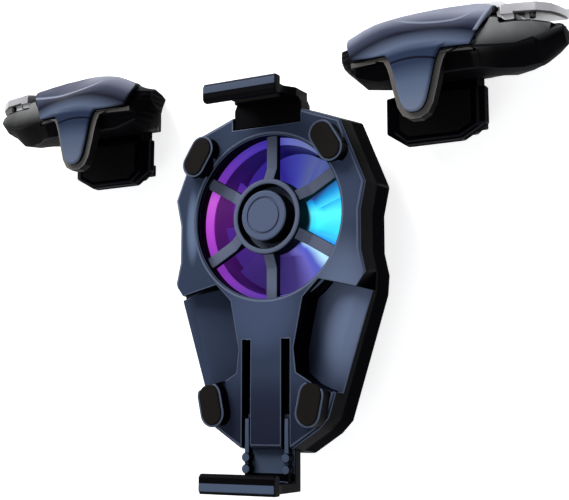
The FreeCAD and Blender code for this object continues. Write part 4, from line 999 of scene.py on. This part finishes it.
@dataclass
class Carried:
    """Takes CAD nodes over into rounded and finished pieces."""

    frame: dict
    finishes: Finishes

    def slot_of(self, node: str) -> str:
        """The record's material slot of a node."""
        return next(p["material_slot"] for p in self.frame["record"]["subparts"] if p["node"] == node)

    def body_of(self, node: str) -> str:
        """The body that a node rides on."""
        bodies = self.frame["record"]["behaviour"]["bodies"]
        return next(body for body, nodes in bodies.items() if node in nodes)

    def repaint(self, node: str, finish: str) -> None:
        """Dresses a node itself in another finish than its slot's."""
        self.finishes.dress(self.frame["nodes"][node], finish)

    def seat(self, piece: bpy.types.Object, node: str) -> None:
        """Lets a piece ride where its node rides and stand for it.

        Args:
            piece: the new piece.
            node: the CAD node that it replaces.
        """
        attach(piece, self.body_of(node))
        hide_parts(node)
        self.slot_of(node)
        log.info("%s: %d faces", piece.name, len(piece.data.polygons))

    def take(self, node: str, look: Look) -> None:
        """Replaces a node with a copy of itself with rounded edges, lighter where an edge finish exists:
        painted highlight.

        Args:
            node: the CAD node.
            look: how the copy is rounded and finished.
        """
        piece = Bench.copy(self.frame["nodes"][node], node + "_moulded")
        Bench.heal(piece)
        main = look.finish or self.slot_of(node)
        # painted highlight: the rounded edges take the lighter edge finish where there is one
        edge = look.edge or (main + "_edge" if main + "_edge" in self.finishes.made else None)
        self.finishes.dress(piece, main, *([edge] if edge else []))
        Bench.round_edges(piece, look.width, sharp=look.sharp, tint=1 if edge else -1, even=look.even)
        self.seat(piece, node)


@dataclass
class Cooler:
    """The cooler's covers, guard, arms and rubber, and the duct with the light ring's light painted on
    it.
    """

    carried: Carried
    looks: dict[str, Look] = field(default_factory=lambda: {
        "front_cover": Look(0.22, sharp=38.0),
        "rear_housing": Look(0.25),
        "fan_guard": Look(0.2, "guard", "slate_edge"),
        "hub_cap": Look(0.15),
        "bottom_arm": Look(0.2, "arm", "arm"),
        "top_arm": Look(0.25, "top_arm", "top_arm"),
        "rubber_pads": Look(0.2),
        "usb_socket": Look(0.1),
        "top_arm_liner": Look(0.1),
        "bottom_arm_liner": Look(0.1)})
    glow_painted_nodes: tuple[str, ...] = ("fan_duct", "led_board")

    def build(self) -> None:
        """Builds the cooler's outer pieces and paints the light ring's light onto its duct and LED board.
        """
        for node, look in self.looks.items():
            self.carried.take(node, look)
        # painted light from the ring on the duct and LED board
        for node in self.glow_painted_nodes:
            self.carried.repaint(node, "duct")


@dataclass
class FanBlades:
    """The milky rotor, with the light ring's light painted on it: wide blades that overlap round a cup.
    Its angles are in degrees.
    """

    carried: Carried
    count: int = 9
    root: float = 7.3
    tip: float = 15.2
    spans: int = 6
    low: float = 3.2
    rise: float = 5.0
    sweep: float = 60.0
    steps: int = 10
    thick: float = 0.6
    smooth: float = 40.0
    cup_depth: float = 9.0
    cup_sides: int = 96
    cup_edge: float = 0.5
    cup_steps: int = 3
    lip: float = 1.2
    groove: float = 0.3

    def blade(self) -> bpy.types.Object:
        """Models one blade: a radial edge drawn round the axis while it rises.

        Returns:
            The blade, with its wall.
        """
        bpy.ops.mesh.primitive_plane_add(size=1.0, location=(0, 0, 0))
        piece = bpy.context.object
        piece.name = "fan_blade"
        bpy.ops.object.mode_set(mode="EDIT")
        bpy.ops.mesh.select_all(action="SELECT")
        bpy.ops.mesh.merge(type="CENTER")
        bpy.ops.transform.translate(value=(self.root * MM, 0, self.low * MM))
        span = (self.tip - self.root) * MM / self.spans
        for _ in range(self.spans):
            bpy.ops.mesh.extrude_region_move(TRANSFORM_OT_translate={"value": (span, 0, 0)})
        bpy.ops.mesh.select_all(action="SELECT")
        lift = self.rise * MM / self.steps
        turn = math.radians(self.sweep / self.steps)
        for _ in range(self.steps):
            bpy.ops.mesh.extrude_region_move(TRANSFORM_OT_translate={"value": (0, 0, lift)})
            bpy.ops.transform.rotate(value=turn, orient_axis="Z", center_override=(0, 0, 0))
        bpy.ops.object.mode_set(mode="OBJECT")
        Bench.modify(piece, "SOLIDIFY", thickness=self.thick * MM, offset=0.0)
        bpy.ops.object.shade_smooth_by_angle(angle=math.radians(self.smooth))
        return piece

    def cup(self) -> bpy.types.Object:
        """Models the rotor's cup: a cylinder with a rounded top edge and an inset top.

        Returns:
            The cup.
        """
        _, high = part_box("fan_rotor")
        depth = self.cup_depth * MM
        bpy.ops.mesh.primitive_cylinder_add(vertices=self.cup_sides, radius=self.root * MM, depth=depth,
                                            location=(0, 0, high[2] - depth / 2))
        piece = bpy.context.object
        bpy.ops.object.transform_apply(location=True, rotation=True, scale=True)
        Bench.pick_faces(piece, lambda face: face.normal.z > Bench.upward)
        bpy.ops.object.mode_set(mode="EDIT")
        bpy.ops.mesh.inset(thickness=self.lip * MM, depth=0.0)
        bpy.ops.mesh.inset(thickness=self.groove * MM, depth=-self.groove * MM)
        bpy.ops.object.mode_set(mode="OBJECT")
        Bench.round_edges(piece, self.cup_edge, self.cup_steps)
        return piece

    def build(self) -> None:
        """Builds the rotor as one piece."""
        blade = self.blade()
        parts = [blade]
        for i in range(1, self.count):
            copy = Bench.copy(blade, "fan_blade_%d" % i)
            copy.data.transform(Matrix.Rotation(2 * math.pi * i / self.count, 4, "Z"))
            parts.append(copy)
        parts.append(self.cup())
        bpy.ops.object.select_all(action="DESELECT")
        for part in parts:
            part.select_set(True)
        bpy.context.view_layer.objects.active = blade
        bpy.ops.object.join()
        blade.name = "fan_rotor_lit"
        # painted light from the ring on the blades
        self.carried.finishes.dress(blade, "fan")
        self.carried.seat(blade, "fan_rotor")


@dataclass
class TriggerUnit:
    """One shoulder trigger: painted shell, grey frame, bright lever and sprung jaw."""

    carried: Carried
    side: Side
    grid: float = 0.22
    passes: int = 6
    pull: float = 0.5

    def node(self, part: str) -> str:
        """The name of this unit's node for a part."""
        return self.side.word + "_" + part

    def looks(self) -> dict[str, Look]:
        """How each of the unit's outer pieces is rounded and finished.

        Returns:
            The looks, by the name of the part.
        """
        return {
            "housing": Look(0.25, "housing", "black_edge", sharp=40.0, even=False),
            "rim": Look(0.2),
            "lever": Look(0.18, self.node("lever")),
            "clamp_jaw": Look(0.3),
            "jaw_pad": Look(0.15, "jaw_rubber"),
            "rear_cover": Look(0.15)}

    def shell(self) -> None:
        """Draws the shell as one evenly curved skin over its flat facets."""
        node = self.node("shell")
        piece = Bench.copy(self.carried.frame["nodes"][node], node + "_moulded")
        Bench.heal(piece, merge=False)
        Bench.modify(piece, "REMESH", mode="VOXEL", voxel_size=self.grid * MM, use_smooth_shade=True)
        Bench.modify(piece, "SMOOTH", factor=self.pull, iterations=self.passes)
        # the shell's pearl paint, with its painted light and shade
        self.carried.finishes.dress(piece, self.node("paint"))
        self.carried.seat(piece, node)

    def build(self) -> None:
        """Builds the unit's outer pieces and darkens the plunger behind its lever."""
        for part, look in self.looks().items():
            self.carried.take(self.node(part), look)
        self.carried.repaint(self.node("switch_plunger"), "black")
        self.shell()


@dataclass(frozen=True)
class Lamp:
    """A square soft light that faces the origin: place and size in metres, power in watts."""

    name: str
    place: tuple[float, float, float]
    size: float
    power: float

    def build(self) -> None:
        """Adds the light to the scene."""
        data = bpy.data.lights.new(self.name, "AREA")
        data.size = self.size
        data.energy = self.power
        lamp = bpy.data.objects.new(self.name, data)
        bpy.context.scene.collection.objects.link(lamp)
        lamp.location = Vector(self.place)
        lamp.rotation_euler = (-Vector(self.place)).to_track_quat("-Z", "Y").to_euler()


@dataclass
class Studio:
    """The pale floor, with its size and drop in metres, the soft lights and the camera."""

    floor_size: float = 3.0
    floor_drop: float = 0.0002
    floor_colour: Linear = (0.9, 0.9, 0.9, 1.0)
    floor_roughness: float = 0.9
    floor_glow: float = 0.8
    air_colour: Linear = (0.85, 0.9, 1.0, 1.0)
    air_strength: float = 0.2
    lamps: tuple[Lamp, ...] = (
        Lamp("key", (-0.12, 0.22, 0.19), 0.18, 0.72), Lamp("front", (-0.1, -0.5, 0.5), 0.4, 0.9))
    camera_place: tuple[float, float, float] = (111.7, -39.7, 212.3)
    camera_right: tuple[float, float, float] = (0.876, 0.0, -0.483)
    camera_back: tuple[float, float, float] = (0.478, -0.144, 0.867)
    lens: float = 70.09
    sensor: float = 36.0
    nearest: float = 10.0

    @staticmethod
    def seen(tree: bpy.types.NodeTree) -> bpy.types.NodeSocket:
        """1 for the rays that show a background: the camera's and those in gloss and glass.

        Args:
            tree: the tree that gets the nodes.

        Returns:
            The share's socket.
        """
        path = tree.nodes.new("ShaderNodeLightPath")
        total = path.outputs["Is Camera Ray"]
        for kind in ("Is Glossy Ray", "Is Transmission Ray"):
            both = tree.nodes.new("ShaderNodeMath")
            both.operation = "MAXIMUM"
            tree.links.new(total, both.inputs[0])
            tree.links.new(path.outputs[kind], both.inputs[1])
            total = both.outputs[0]
        return total

    def floor(self) -> None:
        """A plain white floor that keeps the object's shadow."""
        bpy.ops.mesh.primitive_plane_add(size=self.floor_size, location=(0, 0, -self.floor_drop))
        ground = bpy.context.object
        ground.name = "floor"
        shader = Shader("floor_white")
        shader.set(Base_Color=self.floor_colour, Roughness=self.floor_roughness)
        plain = shader.surface.outputs[0]
        glow = shader.node("ShaderNodeEmission", None, {"Color": WHITE, "Strength": self.floor_glow})
        both = shader.node("ShaderNodeAddShader", None, {0: plain, 1: glow.outputs[0]})
        blend = shader.node("ShaderNodeMixShader", None,
                            {0: self.seen(shader.tree), 1: plain, 2: both.outputs[0]})
        shader.link(blend.outputs[0], shader.output.inputs["Surface"])
        ground.data.materials.append(shader.material)

    def world(self) -> None:
        """White where it is seen, dim where it lights the object."""
        world = bpy.data.worlds.new("studio")
        bpy.context.scene.world = world
        world.use_nodes = True
        tree = world.node_tree
        air = tree.nodes["Background"]
        air.inputs["Color"].default_value = self.air_colour
        air.inputs["Strength"].default_value = self.air_strength
        white = tree.nodes.new("ShaderNodeBackground")
        white.inputs["Color"].default_value = WHITE
        blend = tree.nodes.new("ShaderNodeMixShader")
        tree.links.new(self.seen(tree), blend.inputs[0])
        tree.links.new(air.outputs[0], blend.inputs[1])
        tree.links.new(white.outputs[0], blend.inputs[2])
        tree.links.new(blend.outputs[0], tree.nodes["World Output"].inputs["Surface"])

    def camera(self) -> None:
        """The photograph's camera."""
        data = bpy.data.cameras.new("camera")
        data.lens = self.lens
        data.sensor_width = self.sensor
        data.clip_start = self.nearest * MM
        camera = bpy.data.objects.new("camera", data)
        bpy.context.scene.collection.objects.link(camera)
        right = Vector(self.camera_right).normalized()
        back = Vector(self.camera_back).normalized()
        up = back.cross(right).normalized()
        turn = Matrix((up.cross(back), up, back)).transposed().to_4x4()
        camera.matrix_world = Matrix.Translation(Vector(self.camera_place) * MM) @ turn
        bpy.context.scene.camera = camera

    def build(self) -> None:
        """Sets the whole stage."""
        self.floor()
        self.world()
        for lamp in self.lamps:
            lamp.build()
        self.camera()
        bpy.context.scene.view_settings.view_transform = "Standard"


def main() -> None:
    """Builds and dresses the set."""
    logging.basicConfig(level=logging.INFO, format="%(message)s")
    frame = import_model()
    bpy.ops.object.select_all(action="DESELECT")
    finishes = Finishes()
    finishes.build()
    slots = {part["node"]: part["material_slot"] for part in frame["record"]["subparts"]}
    for name, obj in frame["nodes"].items():
        finishes.dress(obj, slots[name])
    carried = Carried(frame, finishes)
    Cooler(carried).build()
    FanBlades(carried).build()
    for side in Side:
        TriggerUnit(carried, side).build()
    Studio().build()
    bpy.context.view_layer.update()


if __name__ == "__main__":
    main()
